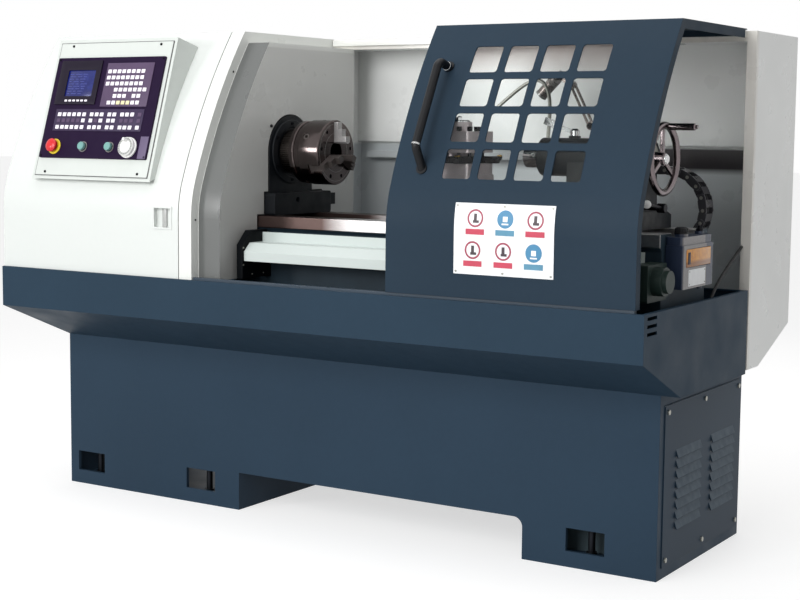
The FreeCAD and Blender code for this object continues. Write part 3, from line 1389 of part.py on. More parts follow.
# its door: a shallow pan on two lift-off hinges
lm, lg = s.leaf_margin, s.leaf_gap
leaf_y0, leaf_y1 = cb + lg, cb + s.leaf_deep
leaf = carve(
    block(o0 - lm, o1 + lm, leaf_y0, leaf_y1, s.opening_low - lm,
          s.opening_top + lm),
    [block(o0 - lm + ct, o1 + lm - ct, leaf_y0 - 1, leaf_y1 - ct,
           s.opening_low - lm + ct, s.opening_top + lm - ct)])
knuckles = []
for z in hinge_z:
    knuckles.append(rod(pin_x, pin_y, z, "z", s.hinge_r, 50))
    knuckles.append(block(pin_x, o0 - lm + 1, pin_y - 2, pin_y + 2, z,
                          z + 50))
leaf = carve(fuse([leaf] + knuckles), [
    rod(pin_x, pin_y, z - 1, "z", hp + s.run_gap, 52,
        "hinge_pin_r + run_gap") for z in hinge_z], "cabinet_door")
finish(leaf)

switch = Body("main_switch")
sr2 = s.switch_r
switch.revolve("y", [
    (cb - 16, 0), (cb - 16, s.switch_pin_r), (cb + 0.3, s.switch_pin_r),
    (cb + 0.3, sr2), (cb + 5, sr2), (cb + 7, sr2 - 3), (cb + 7, 0)])
switch.pad("y", cb + 6, cb + 19, [box_path(
    -7, 7, -s.switch_long / 2, s.switch_long / 2, 4)])
finish(switch, x="switch_x", z="switch_z")

# ---- control box on the headstock cover -----------------------------

face_run = math.hypot(s.box_high_y - s.box_low_y,
                      s.box_high_z - s.box_low_z)
tilt = math.degrees(math.atan2(s.box_high_z - s.box_low_z,
                               s.box_high_y - s.box_low_y))
reach = 1.4


def onward(y0, z0, y1, z1):
    # a point past the second one, well inside the cover's skin
    return (y0 + reach * (y1 - y0), z0 + reach * (z1 - z0))


b0, b1 = s.box_start, s.box_start + s.box_wide
corner_low = (s.box_low_y, s.box_low_z)
corner_high = (s.box_high_y, s.box_high_z)
corner_top_in = onward(*corner_high, s.box_top_in_y, s.box_top_in_z)
corner_low_in = onward(*corner_low, s.box_low_in_y, s.box_low_in_z)
outer = prism("x", b0, b1, [corner_low, corner_high, corner_top_in,
                            corner_low_in])
lift = math.radians(tilt)
vy, vz = math.cos(lift), math.sin(lift)


def inset(corner, along, deep):
    # shift a corner along the face and into the box
    return (corner[0] + along * vy + deep * vz,
            corner[1] + along * vz - deep * vy)


hollow = prism("x", b0 + sk, b1 - sk, [
    inset(corner_low, sk, sk), inset(corner_high, -sk, sk),
    inset(corner_top_in, -sk, 90), inset(corner_low_in, sk, 90)])
face_turn = FreeCAD.Rotation(V(1, 0, 0), tilt)


def face_rod(u, v, w, radius, length, name=None):
    # a rod square to the face, from depth w outwards
    k = rod(0, 0, 0, "z", radius, length, name)
    y, z = inset(corner_low, v, -w)
    k.Placement = FreeCAD.Placement(V(b0 + u, y, z), face_turn)
    return k


KNOBS = [(s.stop_u, s.stop_v), (s.start_u, s.button_v),
         (s.hold_u, s.button_v), (s.dial_u, s.dial_v)]
box_holes = [face_rod(u, v, -sk - 1, s.button_stem_r + 2, sk + 2)
             for u, v in KNOBS]
box = carve(outer, [hollow, prism(
    "x", b0 - 1, b1 + 1, skin_path(-s.box_gap, far, low))] + box_holes,
    "control_box")
finish(box)

face_at = dict(x="box_start", y="box_low_y", z="box_low_z",
               turn=face_turn)
pi = s.plate_inset
pt = s.plate_thick
stem = s.button_stem_r
plate = Body("control_plate")
plate.pad("z", 0, pt, [box_path(pi, s.box_wide - pi, pi, face_run - pi, 3)],
          length="plate_thick")
plate.cut("z", 0, pt, [], [(u, v, stem + s.stem_fit,
                            "button_stem_r + stem_fit") for u, v in KNOBS])
finish(plate, **face_at)

panel = Body("cnc_panel")
u0, v0 = s.panel_u, s.panel_v
panel.pad("z", pt, pt + s.panel_thick, [box_path(
    u0, u0 + s.panel_wide, v0, v0 + s.panel_tall, 4)],
    [(u, v, stem + s.stem_fit, "button_stem_r + stem_fit")
     for u, v in KNOBS], length="panel_thick")
finish(panel, **face_at)

collar = s.button_stem_r + 3
keep = -sk - s.stem_fit


def face_place(u, v):
    # where a knob at u, v of the face has its own origin
    y, z = inset((0, 0), v, 0)
    return dict(x="box_start + " + u, y="box_low_y + %.6f" % y,
                z="box_low_z + %.6f" % z, turn=face_turn)


def push_button(label, u, v, head_points):
    # head, stem through the panel and a keeper ring behind it
    b = Body(label)
    b.revolve("z", [(0, keep - 3), (collar, keep - 3), (collar, keep),
                    (stem, keep)] + head_points)
    finish(b, **face_place(u, v))


panel_face = pt + s.panel_thick
top_of = panel_face + s.push_gap
crown = top_of + s.stop_tall
push_button("estop_button", "stop_u", s.stop_v, [
    (stem, top_of + 0.5), (s.stop_r - 9, top_of + 0.5),
    (s.stop_r - 9, top_of + 4), (s.stop_r - 3, top_of + 6),
    (s.stop_r, top_of + 9), (s.stop_r, crown - 6.5),
    ("arc", (s.stop_r * 0.7, crown - 2), (3, crown)), (0, crown)])
for name in ("start", "hold"):
    push_button(name + "_button", name + "_u", s.button_v, [
        (stem, top_of + 0.5), (s.button_r, top_of + 0.5),
        (s.button_r, top_of + s.button_out - 1.5),
        (s.button_r - 1.5, top_of + s.button_out),
        (0, top_of + s.button_out)])

dial = Body("mpg_dial")
dr, do = s.dial_r, panel_face + s.dial_out
dial.revolve("z", [
    (0, keep - 3), (collar, keep - 3), (collar, keep), (stem, keep),
    (stem, panel_face + 1), (dr + 3, panel_face + 1),
    (dr + 3, panel_face + 5), (dr, panel_face + 7),
    (dr, do - 2), (dr - 2, do), (0, do)])
dial.pad("z", do - 1, do + s.dial_knob, [], [(0, dr - 11, 5)])
notch = dial.cut("z", panel_face + 7, do, [], [(dr + 1.2, 0, 2.2)])
dial.repeat(notch, 24, turn_axis="z")
finish(dial, **face_place("dial_u", s.dial_v))

# ---- lubricator on the end of the bed -------------------------------

e = s.bed_end
f0 = s.lube_front
f1 = f0 + s.lube_wide
lube = Body("lubricator")
lube.pad("z", s.lube_low, s.lube_body_top, [box_path(
    e, e + s.lube_deep, f0, f1, 5)], length="lube_body_top - lube_low")
lube.pad("z", s.lube_body_top - 1, s.lube_top - 8, [box_path(
    e, e + s.lube_deep - 4, f0 + 3, f1 - 3, 8)])
lube.pad("z", s.lube_top - 9, s.lube_top, [],
         [(e + 27, f0 + 48, 18), (e + 27, f1 - 40, 12)])
lube.cut("x", e + s.lube_deep - 3, e + s.lube_deep, [box_path(
    f0 + 20, f1 - 20, s.lube_body_top - 60, s.lube_body_top - 10, 6)])
lube.pad("z", s.lube_low - 12, s.lube_low + 1, [],
         [(e + 27, f1 - 30, 7)])
finish(lube)

# ---- cable chain behind the bed, held at both ends ------------------

cr, ch = s.chain_r, s.chain_tall / 2
upper = s.chain_x - s.chain_start
lower = s.chain_x - s.chain_low_end
chain_run = upper + math.pi * cr + lower
pitch = chain_run / s.chain_links


def chain_point(d):
    if d <= upper:
        return (s.chain_start + d, s.chain_mid_z + cr)
    if d <= upper + math.pi * cr:
        a = (d - upper) / cr
        return (s.chain_x + cr * math.sin(a),
                s.chain_mid_z + cr * math.cos(a))
    return (s.chain_x - (d - upper - math.pi * cr), s.chain_mid_z - cr)


cy0, cy1 = s.chain_y, s.chain_y + s.chain_wide
ply = 3
pieces = []
for n in range(int(s.chain_links)):
    xa, za = chain_point(n * pitch)
    xb, zb = chain_point((n + 1) * pitch)
    run = math.hypot(xb - xa, zb - za)
    ux, uz = (xb - xa) / run, (zb - za) / run

    def at(along, up):
        return (xa + ux * along - uz * up, za + uz * along + ux * up)

    side = [at(0, -ch + 1), at(run, -ch + 1),
            ("arc", at(run + ch - 1, 0), at(run, ch - 1)),
            at(0, ch - 1), ("arc", at(1 - ch, 0), at(0, -ch + 1))]
    shift = 0 if n % 2 else ply
    for y in (cy0 + shift, cy1 - shift - ply):
        pieces.append(prism("y", y, y + ply, side))
    for up in (-ch, ch - ply):
        pieces.append(prism("y", cy0 + shift, cy1 - shift, [
            at(run * 0.2, up), at(run * 0.8, up),
            at(run * 0.8, up + ply), at(run * 0.2, up + ply)]))
hold_x, hold_z = s.chain_start, s.chain_mid_z + cr
pieces.append(block(hold_x - ch, hold_x + 10, cy0, cy1, hold_z - ch,
                    hold_z + ch))
pieces.append(block(hold_x - ch, hold_x + 10, cy1 - 1, ab - sk,
                    hold_z - 3, hold_z + 3))
end_x, end_z = s.chain_low_end, s.chain_mid_z - cr
pieces.append(block(end_x - ch, end_x + 10, bb, cy1, end_z - ch,
                    end_z + ch))
chain = fuse(pieces)
finish(name_it(chain, "cable_chain"))

# ---- work lamp: stalk, arm and head ---------------------------------


def spar(p, q, radius, name=None):
    # a round bar from one point to another
    p, q = V(*p), V(*q)
    c = doc.addObject("Part::Cylinder", "spar")
    c.Radius = radius
    c.Height = (q - p).Length
    c.Placement = FreeCAD.Placement(
        p, FreeCAD.Rotation(V(0, 0, 1), q - p))
    if name:
        tie(c, "Radius", name)
    return c


jr = s.lamp_joint_r
lx, ly, lz = s.lamp_x, s.lamp_y, s.lamp_z
hx, hz = s.lamp_arm_x, s.lamp_arm_z
gap = s.run_gap
p0 = ly + jr
lamp_base = fuse([
    rod(lx, s.panel_front - 6, lz, "y", s.lamp_plate_r, 6,
        "lamp_plate_r"),
    rod(lx, p0, lz, "y", s.lamp_stalk_r, s.panel_front - 5 - p0,
        "lamp_stalk_r"),
    rod(lx, ly - 1, lz, "y", 5, jr + 2),
    rod(lx, ly - 6, lz, "y", 9, 5)])
finish(name_it(lamp_base, "lamp_base"))

a0, a1 = ly + gap, p0 - gap
mid_y = (a0 + a1) / 2
run = math.hypot(hx - lx, hz - lz)
nx, nz = -(hz - lz) / run * 7, (hx - lx) / run * 7
arm = carve(fuse([
    rod(lx, a0, lz, "y", jr, a1 - a0, "lamp_joint_r"),
    rod(hx, a0, hz, "y", jr - 2, a1 - a0),
    spar((lx + nx, mid_y, lz + nz), (hx + nx, mid_y, hz + nz),
         s.lamp_rod_r, "lamp_rod_r"),
    spar((lx - nx, mid_y, lz - nz), (hx - nx, mid_y, hz - nz),
         s.lamp_rod_r, "lamp_rod_r"),
    rod(hx, a0 - jr - 1, hz, "y", 4, jr + 2),
    rod(hx, a0 - jr - 6, hz, "y", 7, 5)]),
    [rod(lx, a0 - 1, lz, "y", 5 + gap, a1 - a0 + 2)], "lamp_arm")
finish(arm)

h1 = a0 - 2 * gap
h0 = a0 - jr - 1 + 2 * gap
head_y = (h0 + h1) / 2
aim = math.radians(s.lamp_head_deg)
dx, dz = -math.cos(aim), -math.sin(aim)
back_x, back_z = hx - 41, hz + 28


def down(d):
    # a point on the head's own axis, measured from its rear face
    return (back_x + dx * d, head_y, back_z + dz * d)


long = s.lamp_head_long
head = carve(fuse([
    rod(hx, h0, hz, "y", jr - 2, h1 - h0),
    prism("y", head_y - 4, head_y + 4, [
        (hx - 3, hz - 6), (hx + 3, hz + 6), (back_x + 8, back_z + 6),
        (back_x - 4, back_z - 6)]),
    spar(down(-14), down(6), s.lamp_head_r - 9),
    spar(down(0), down(long), s.lamp_head_r, "lamp_head_r")]), [
    rod(hx, h0 - 1, hz, "y", 4 + gap, h1 - h0 + 2),
    spar(down(long - 26), down(long + 1), s.lamp_head_r - 3)],
    "lamp_head")
finish(head)

# ---- check and write ------------------------------------------------

doc.recompute()
bad = [o.Label for o in doc.Objects
       if "Invalid" in o.State or "Error" in o.State]
for obj in finished:
    if obj.Shape.isNull() or not obj.Shape.isValid():
        bad.append(obj.Label + " shape")
if bad:
    raise RuntimeError("not built: " + ", ".join(bad))
os.makedirs("parts", exist_ok=True)
for obj in finished:
    obj.Shape.exportStep(os.path.join("parts", obj.Label + ".step"))
    solids = obj.Shape.Solids
    print(obj.Label, len(solids),
          round(sum(x.Volume for x in solids) / 1000))
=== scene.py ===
# %% [markdown]
# # A turning lathe in its sheet-metal enclosure
#
# The machine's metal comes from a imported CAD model: every casting, sheet and shaft is there, at its
# real size in metres. This lesson gives each its finish, and adds what is too small or too soft for
# the CAD: keys, screws, hoses, printed signs and seals. Then it sets lights and a camera.

# %% Load the frame
import math

import bmesh
import bpy
from mathutils import Matrix, Vector


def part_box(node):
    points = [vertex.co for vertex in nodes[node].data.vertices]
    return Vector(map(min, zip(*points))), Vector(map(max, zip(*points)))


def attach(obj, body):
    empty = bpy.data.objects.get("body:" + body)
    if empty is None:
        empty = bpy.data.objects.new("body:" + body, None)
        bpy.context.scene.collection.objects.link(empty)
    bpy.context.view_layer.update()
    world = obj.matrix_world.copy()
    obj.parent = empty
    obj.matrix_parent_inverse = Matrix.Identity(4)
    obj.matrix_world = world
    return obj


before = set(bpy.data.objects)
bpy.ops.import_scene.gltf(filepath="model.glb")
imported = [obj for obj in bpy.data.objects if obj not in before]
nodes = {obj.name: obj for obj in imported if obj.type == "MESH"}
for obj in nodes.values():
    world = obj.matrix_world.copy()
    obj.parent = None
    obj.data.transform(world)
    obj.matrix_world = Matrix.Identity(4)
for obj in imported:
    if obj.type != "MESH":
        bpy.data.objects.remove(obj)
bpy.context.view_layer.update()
scene = bpy.context.scene

# %% [markdown]
# ## Where things are
#
# A machinist measures from an edge, not from the middle of the air. So places are written in
# millimetres from the chip tray's front left corner, z up from the floor, and one small function
# turns them into metres in the frame. The control face leans back, so it has its own grid: u to the
# right, v up the slope and w straight out of the face.

# %% Two ways to name a place
MM = 0.001
tray_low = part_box("chip_tray")[0]


def at(x, y, z):
    """A point in millimetres from the tray's front left corner."""
    return Vector((tray_low.x + x * MM, tray_low.y + y * MM, z * MM))


FACE_LEFT = 135
FACE_FOOT = (5, 1043)
FACE_HEAD = (144, 1484)
face_lean = math.atan2(FACE_HEAD[1] - FACE_FOOT[1], FACE_HEAD[0] - FACE_FOOT[0])
FACE = (
    Matrix.Translation(at(FACE_LEFT, *FACE_FOOT))
    @ Matrix.Rotation(face_lean, 4, "X")
    @ Matrix.Scale(MM, 4)
)
TRAY = Matrix.Translation(at(0, 0, 0)) @ Matrix.Scale(MM, 4)
print("the control face leans", round(90 - math.degrees(face_lean), 1), "degrees back")

# %% [markdown]
# ## Shaping small parts
#
# Nearly every small part of a machine is a block with broken edges, a turned part or a bent tube.
# Each helper below adds one to a bmesh with mesh operators. A piece is a list of such shapes, each
# a helper and its values, so a row of keys is one piece with many blocks. Turned parts are spun,
# because a lathe makes them just so: half an outline, turned about an axis.

# %% Helpers for blocks, turned parts and tubes
TURN = {
    "x": Matrix.Rotation(math.radians(90), 4, "Y"),
    "y": Matrix.Rotation(math.radians(-90), 4, "X"),
    "z": Matrix.Identity(4),
}
SHARP_ANGLE = math.radians(35)
MERGE_BELOW = 1e-4
FINISHES = {}


def block(bm, low, high, edge=0.0, steps=2):
    """A block between two corners, its edges rounded by edge."""
    low, high = Vector(low), Vector(high)
    shape = Matrix.Translation((low + high) / 2) @ Matrix.Diagonal((*(high - low), 1))
    made = bmesh.ops.create_cube(bm, size=1, matrix=shape)["verts"]
    if edge:
        edges = list({e for v in made for e in v.link_edges})
        bmesh.ops.bevel(bm, geom=edges, offset=edge, segments=steps, profile=0.5, affect="EDGES",
                        material=-1, clamp_overlap=True)


def turned(bm, centre, axis, outline, steps=32):
    """Half an outline of (radius, height) points, turned once about an axis through centre."""
    place = Matrix.Translation(centre) @ TURN[axis]
    verts = [bm.verts.new(place @ Vector((r, 0, h))) for r, h in outline]
    edges = [bm.edges.new(pair) for pair in zip(verts, verts[1:])]
    spine = (place.to_3x3() @ Vector((0, 0, 1))).normalized()
    bmesh.ops.spin(bm, geom=verts + edges, cent=place.translation, axis=spine, angle=math.tau,
                   steps=steps, use_merge=True, use_duplicate=False)


def disc(bm, centre, axis, radius, depth, edge=0.0, steps=32):
    """A round plug from centre along axis, with a broken edge at its far end."""
    outline = [(0, 0), (radius, 0), (radius, depth - edge), (radius - edge, depth), (0, depth)]
    turned(bm, centre, axis, outline, steps)


def show(name, data, finish, body):
    """Put a mesh or a curve in the scene, and let it ride on a body."""
    data.materials.append(FINISHES[finish])
    made = bpy.data.objects.new(name, data)
    scene.collection.objects.link(made)
    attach(made, body)


def piece(name, finish, slot, *shapes, body="machine", place=TRAY):
    """Make shapes, each a helper and its values, into one closed mesh in its place."""
    bm = bmesh.new()
    for helper, *values in shapes:
        helper(bm, *values)
    bmesh.ops.remove_doubles(bm, verts=bm.verts, dist=MERGE_BELOW)
    bmesh.ops.dissolve_degenerate(bm, edges=bm.edges, dist=MERGE_BELOW / 10)
    bmesh.ops.recalc_face_normals(bm, faces=bm.faces)
    bm.transform(place)
    mesh = bpy.data.meshes.new(name)
    bm.to_mesh(mesh)
    bm.free()
    mesh.shade_smooth()
    mesh.set_sharp_from_angle(angle=SHARP_ANGLE)
    show(name, mesh, finish, body)


def hose(name, finish, radius, points, body="machine"):
    """A bent round bar or hose along a smooth line through its points."""
    line = bpy.data.curves.new(name, "CURVE")
    line.dimensions = "3D"
    line.bevel_depth = radius * MM
    line.bevel_resolution = 4
    line.use_fill_caps = True
    spline = line.splines.new("NURBS")
    spline.points.add(len(points) - 1)
    for point, place in zip(spline.points, points):
        point.co = (*at(*place), 1)
    spline.use_endpoint_u = True
    spline.order_u = 4
    show(name, line, finish, body)


print("turned parts can lie along", *TURN)

# %% [markdown]
# ## A workshop for finishes
#
# A finish is more than a colour: paint has orange peel, ground steel has fine lines, castings are
# pitted. All start from the same few nodes, so one small class holds them: it makes the material,
# hands out noise on Object coordinates, blends two colours by it and turns a height into a bump.
# The Bevel node feeds every bump on a CAD part, since sheet and castings have no razor edges; the
# soft highlight along them is what the eye looks for.

# %% The finish class
def tone(red, green, blue):
    """A colour as a screen shows it, turned into the linear one that the shader wants."""
    return tuple((c / 255) ** 2.2 for c in (red, green, blue))


class Finish:
    """A Principled material and the nodes that the finishes below share."""

    def __init__(self, name, colour, level=0.5, metal=0.0, edge=0.0, shine=0.5):
        self.material = FINISHES[name] = bpy.data.materials.new(name)
        self.material.use_nodes = True
        self.tree = self.material.node_tree
        self.shader = self.tree.nodes["Principled BSDF"]
        self.tint = tone(*colour)
        self.level = level
        self.feed(self.shader, Base_Color=(*self.tint, 1), Roughness=level, Metallic=metal,
                  Specular_IOR_Level=shine)
        self.coordinates = self.add("ShaderNodeTexCoord").outputs
        self.place = self.coordinates["Object"]
        self.normal = None
        if edge:
            round_off = self.feed(self.add("ShaderNodeBevel", samples=4), Radius=edge * MM)
            self.normal = round_off.outputs[0]
            self.feed(self.shader, Normal=self.normal)

    def add(self, kind, **settings):
        node = self.tree.nodes.new(kind)
        for name, value in settings.items():
            setattr(node, name, value)
        return node

    def put(self, socket, source):
        """Link a source to a socket, or set it to a value."""
        if isinstance(source, bpy.types.NodeSocket):
            self.tree.links.new(source, socket)
        else:
            socket.default_value = source

    def feed(self, node, **sources):
        """Fill a node's inputs by name, with _ for a space."""
        for name, source in sources.items():
            self.put(node.inputs[name.replace("_", " ")], source)
        return node

    def stretch(self, x=1, y=1, z=1, move=(0, 0, 0)):
        """Object coordinates, stretched, for grain that runs one way."""
        node = self.add("ShaderNodeMapping")
        return self.feed(node, Vector=self.place, Location=move, Scale=(x, y, z)).outputs[0]

    def noise(self, scale, detail=3.0, where=None):
        node = self.add("ShaderNodeTexNoise")
        self.feed(node, Vector=where or self.place, Scale=scale, Detail=detail)
        return node.outputs["Fac"]

    def span(self, value, low, high, start=0.3, end=0.7):
        """Move a value from the span start..end to low..high."""
        node = self.add("ShaderNodeMapRange")
        self.feed(node, Value=value, From_Min=start, From_Max=end, To_Min=low, To_Max=high)
        return node.outputs[0]

    def ramp(self, value, start=0.3, end=0.7):
        """0 at start, 1 at end."""
        return self.span(value, 0, 1, start, end)

    def times(self, a, b):
        return self.sum("MULTIPLY", a, b)

    def sum(self, how, a, b):
        node = self.add("ShaderNodeMath", operation=how)
        self.put(node.inputs[0], a)
        self.put(node.inputs[1], b)
        return node.outputs[0]

    def mix(self, share, a, b):
        """Blend two colours, each a tuple or another blend."""
        node = self.add("ShaderNodeMix", data_type="RGBA")
        self.put(node.inputs[0], share)
        for socket, source in ((node.inputs[6], a), (node.inputs[7], b)):
            self.put(socket, (*source, 1) if isinstance(source, tuple) else source)
        return node.outputs[2]

    def colour(self, source):
        self.feed(self.shader, Base_Color=source)

    def mottle(self, scale, detail, share):
        """Let the tone drift down to a darker share of itself."""
        dark = tuple(c * share for c in self.tint)
        self.colour(self.mix(self.ramp(self.noise(scale, detail)), dark, self.tint))

    def gloss(self, source, less, more):
        """Let the roughness drift from less below its level to more above it."""
        self.feed(self.shader, Roughness=self.span(source, self.level - less, self.level + more))

    def bump(self, height, strength, depth=0.2):
        """Add a relief of depth millimetres, on top of what is there."""
        node = self.add("ShaderNodeBump")
        self.feed(node, Height=height, Strength=strength, Distance=depth * MM)
        if self.normal:
            self.feed(node, Normal=self.normal)
        self.normal = node.outputs[0]
        self.feed(self.shader, Normal=self.normal)

    def along(self, axis, what="Object"):
        """The place along one of the object's axes or, for "Normal", how far a face looks along."""
        split = self.feed(self.add("ShaderNodeSeparateXYZ"), Vector=self.coordinates[what])
        return split.outputs[axis]

    def dress(self, *names):
        """Put the finish on CAD nodes, in place of the plain one they came with."""
        for name in names:
            mesh = nodes[name].data
            if not mesh.materials:
                mesh.materials.append(None)
            for index in range(len(mesh.materials)):
                mesh.materials[index] = self.material


print("mid grey on a screen is", round(tone(128, 128, 128)[0], 2), "in linear light")

# %% [markdown]
# ## Paint on sheet metal
#
# The base, the tray and the sliding door wear a dark blue-grey enamel; the covers are off-white and
# the cabinet a shade creamier. Sprayed enamel could be one colour with some gloss, but then a
# two-metre panel looks like paper. Three things make it paint: tones that drift slowly across a
# panel, a fine orange peel, and gloss that is not the same everywhere.

# %% Enamel
PAINT_EDGE = 1.2
PEEL_SCALE = 420
PEEL_DEPTH = 0.25


def enamel(name, colour, level=0.4, drift=0.06, peel=0.05, shine=0.5):
    """Sprayed paint: slow drift of tone, orange peel, uneven gloss."""
    paint = Finish(name, colour, level, edge=PAINT_EDGE, shine=shine)
    dark = tuple(c * (1 - drift) for c in paint.tint)
    light = tuple(min(1, c * (1 + drift)) for c in paint.tint)
    slow = paint.times(paint.noise(1.7, 2), 0.75)
    fine = paint.times(paint.noise(60, 3), 0.25)
    paint.colour(paint.mix(paint.ramp(paint.sum("ADD", slow, fine), 0.35, 0.65), dark, light))
    paint.gloss(paint.noise(9, 4), 0.06, 0.08)
    paint.bump(paint.noise(PEEL_SCALE, 2), peel, PEEL_DEPTH)
    return paint


enamel("machine_blue", (46, 62, 77), 0.46, shine=0.1).dress("base_stand")
enamel("tray_blue", (44, 60, 74), 0.46, shine=0.08).dress("chip_tray")
enamel("door_blue", (44, 57, 69), 0.46, shine=0.06).dress("sliding_door")
enamel("cover_white", (212, 216, 213), 0.36, drift=0.015, shine=0.35).dress("headstock_cover")
enamel("box_white", (202, 207, 203), 0.38, drift=0.015, shine=0.35).dress(
    "control_box", "control_plate")
enamel("inner_grey", (168, 170, 168), 0.3, drift=0.04, peel=0.03)
enamel("cabinet_cream", (212, 210, 200), 0.42, drift=0.03).dress(
    "electrical_cabinet", "cabinet_door")
enamel("way_cover_paint", (194, 203, 200), 0.35, drift=0.02).dress("way_cover")
enamel("motor_grey", (70, 84, 90), 0.5, drift=0.08, shine=0.3).dress("main_motor", "coolant_tank")
enamel("drive_green", (36, 48, 45), 0.45, drift=0.08, shine=0.25).dress("z_motor")
print(len(FINISHES), "enamels")

# %% [markdown]
# Some sheets are not one colour all over: the end cover's louvres carry a painted highlight where
# they turn up, the wall inside is grey behind a white rim, with painted shade on faces that look to
# the front, and the rear guard is painted whiter inside, with a painted brown shadow in its alcove.
# They could be cut into pieces, but paint knows no joints: the share between two coats is read from
# the place on the sheet and from where it faces. A small function for each sheet says where.

# %% Sheets with more than one coat
FACES_FRONT = (-0.7, -0.3)
RIM_BACK = 786
ROOF_LIP = (1.455, 1.46)
ALCOVE_TOP = (1.165, 1.155)
ALCOVE_FRONT = (0.2, 0.22)
POST_LEFT = (1.092, 1.09)
SHADE_Z = (1.08, 1.1)
SHADE_X = (0.1, 0.4)
WALL_RISE = (0.9, 1.4)
RAIL_SPLIT = (1.0, 1.1)


def louvred_cover(name):
    """The end cover: machine enamel, with a painted highlight in patches where the louvres turn up.
    """
    paint = Finish(name, (49, 64, 79), 0.46, edge=1.0, shine=0.1)
    upward = paint.ramp(paint.along("Z", "Normal"), 0.15, 0.75)
    highlight_patches = paint.span(paint.noise(40, 3), 0.5, 1)
    slow = paint.mix(paint.ramp(paint.noise(2, 2)), tone(42, 56, 70), tone(48, 63, 77))
    # Painted highlight: faces that turn up get the pale (132, 146, 156), in noise patches.
    paint.colour(paint.mix(paint.times(upward, highlight_patches), slow, tone(132, 146, 156)))
    paint.bump(paint.noise(PEEL_SCALE, 2), 0.05, PEEL_DEPTH)
    paint.dress(name)


def wall_coats(paint):
    """A white rim and roof strip, and a grey wall, darker towards the bottom, whose lip towards the
    front gets a painted shade.
    """
    rim = paint.ramp(paint.along("X"), at(RIM_BACK + 0.5, 0, 0).x, at(RIM_BACK, 0, 0).x)
    rise = paint.ramp(paint.along("Z"), *WALL_RISE)
    # The grey is darker towards the bottom; faces that look to the front get (100, 102, 101), a
    # painted shade.
    behind = paint.ramp(paint.along("Y", "Normal"), *FACES_FRONT)
    flat = paint.mix(rise, tone(176, 177, 175), tone(206, 207, 204))
    grey = paint.mix(behind, tone(100, 102, 101), flat)
    roof = paint.times(paint.ramp(paint.along("Z"), *ROOF_LIP), behind)
    return paint.mix(paint.sum("MAXIMUM", rim, roof), grey, tone(226, 228, 224))


def guard_coats(paint):
    """Cream-white outside and a whiter upper panel inside, painted light; grey in the alcove, under a
    band of painted brown shadow.
    """
    below = paint.ramp(paint.along("Z"), *ALCOVE_TOP)
    inside = paint.ramp(paint.along("Y"), *ALCOVE_FRONT)
    left_of_post = paint.ramp(paint.along("X"), *POST_LEFT)
    alcove = paint.times(below, paint.times(inside, left_of_post))
    # A painted shadow: a dark brown band under the upper panel's edge, towards the right.
    shade = paint.times(paint.ramp(paint.along("Z"), *SHADE_Z),
                        paint.ramp(paint.along("X"), *SHADE_X))
    grey = paint.mix(shade, tone(206, 212, 214), tone(36, 32, 36))
    # Outside a cream white; inside the sheet is painted whiter, painted light where less lamp light
    # reaches.
    white = paint.mix(inside, tone(236, 233, 226), tone(250, 252, 250))
    return paint.mix(alcove, white, grey)


def rail_coats(paint):
    """The rail by the roof is white, the one by the tray is the door's blue."""
    roof = paint.ramp(paint.along("Z"), *RAIL_SPLIT)
    return paint.mix(roof, tone(46, 60, 73), tone(236, 237, 232))


def coats(name, tones):
    """One CAD sheet in several colours; a function of the finish says where each is."""
    paint = Finish(name, (220, 222, 220), 0.3, edge=PAINT_EDGE)
    drift = paint.span(paint.noise(1.7, 2), 0.94, 1, 0.35, 0.65)
    paint.colour(paint.mix(drift, (0, 0, 0), tones(paint)))
    paint.gloss(paint.noise(9, 4), 0.05, 0.06)
    paint.bump(paint.noise(PEEL_SCALE, 2), 0.04, PEEL_DEPTH)
    paint.dress(name)


louvred_cover("end_cover")
coats("headstock_wall", wall_coats)
coats("rear_guard", guard_coats)
coats("door_rails", rail_coats)
print(len(FINISHES), "finishes so far")

# %% [markdown]
# ## Castings
#
# Headstock, tailstock and bed are iron castings, filled and painted, yet still showing the sand of
# the mould. A Voronoi relief reads as leather; two sizes of noise, one on the other, give the lumpy
# skin of filled iron. The bed's slideways are ground bright, so it needs two finishes on one node,
# shared out by height and by which faces look along the bed.

# %% Cast iron, painted and ground
WAY_DEPTH = 0.036
WAY_TONE_X = (-0.02, 0.1)


def casting(name, colour, level=0.5):
    """Filled and painted iron: lumps of two sizes under a satin film."""
    skin = Finish(name, colour, level, edge=2.5, shine=0.25)
    skin.mottle(14, 4, 0.75)
    skin.gloss(skin.noise(30, 3), 0.08, 0.12)
    skin.bump(skin.noise(45, 2), 0.25, 0.8)
    skin.bump(skin.noise(320, 2), 0.2, 0.2)
    return skin


def bed_casting():
    """Painted iron below and at the end, slideways ground bright on top."""
    bed = casting("bed_casting", (42, 56, 66))
    way_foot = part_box("lathe_bed")[1].z - WAY_DEPTH
    not_end = bed.sum("LESS_THAN", bed.along("X", "Normal"), 0.7)
    high = bed.times(bed.sum("GREATER_THAN", bed.along("Z"), way_foot), not_end)
    lines = bed.noise(60, 3, bed.stretch(1, 60, 60))
    # Along the bed the ground ways go from brown-grey on the headstock's side to near white towards
    # the tailstock.
    way_tone = bed.mix(bed.ramp(bed.along("X"), *WAY_TONE_X), tone(96, 78, 76), tone(240, 238, 238))
    steel = bed.mix(bed.span(lines, 0.6, 1), tone(96, 90, 82), way_tone)
    painted = bed.shader.inputs["Base Color"].links[0].from_socket
    bed.colour(bed.mix(high, painted, steel))
    bed.feed(bed.shader, Metallic=high, Roughness=bed.span(high, 0.55, 0.3, 0, 1))
    return bed


casting("casting_dark", (16, 20, 25)).dress("headstock_casting")
casting("tailstock_dark", (30, 34, 38), 0.42).dress("tailstock_body")
bed_casting().dress("lathe_bed")
print("three castings painted, the slideways bright down to", round(WAY_DEPTH / MM), "mm")

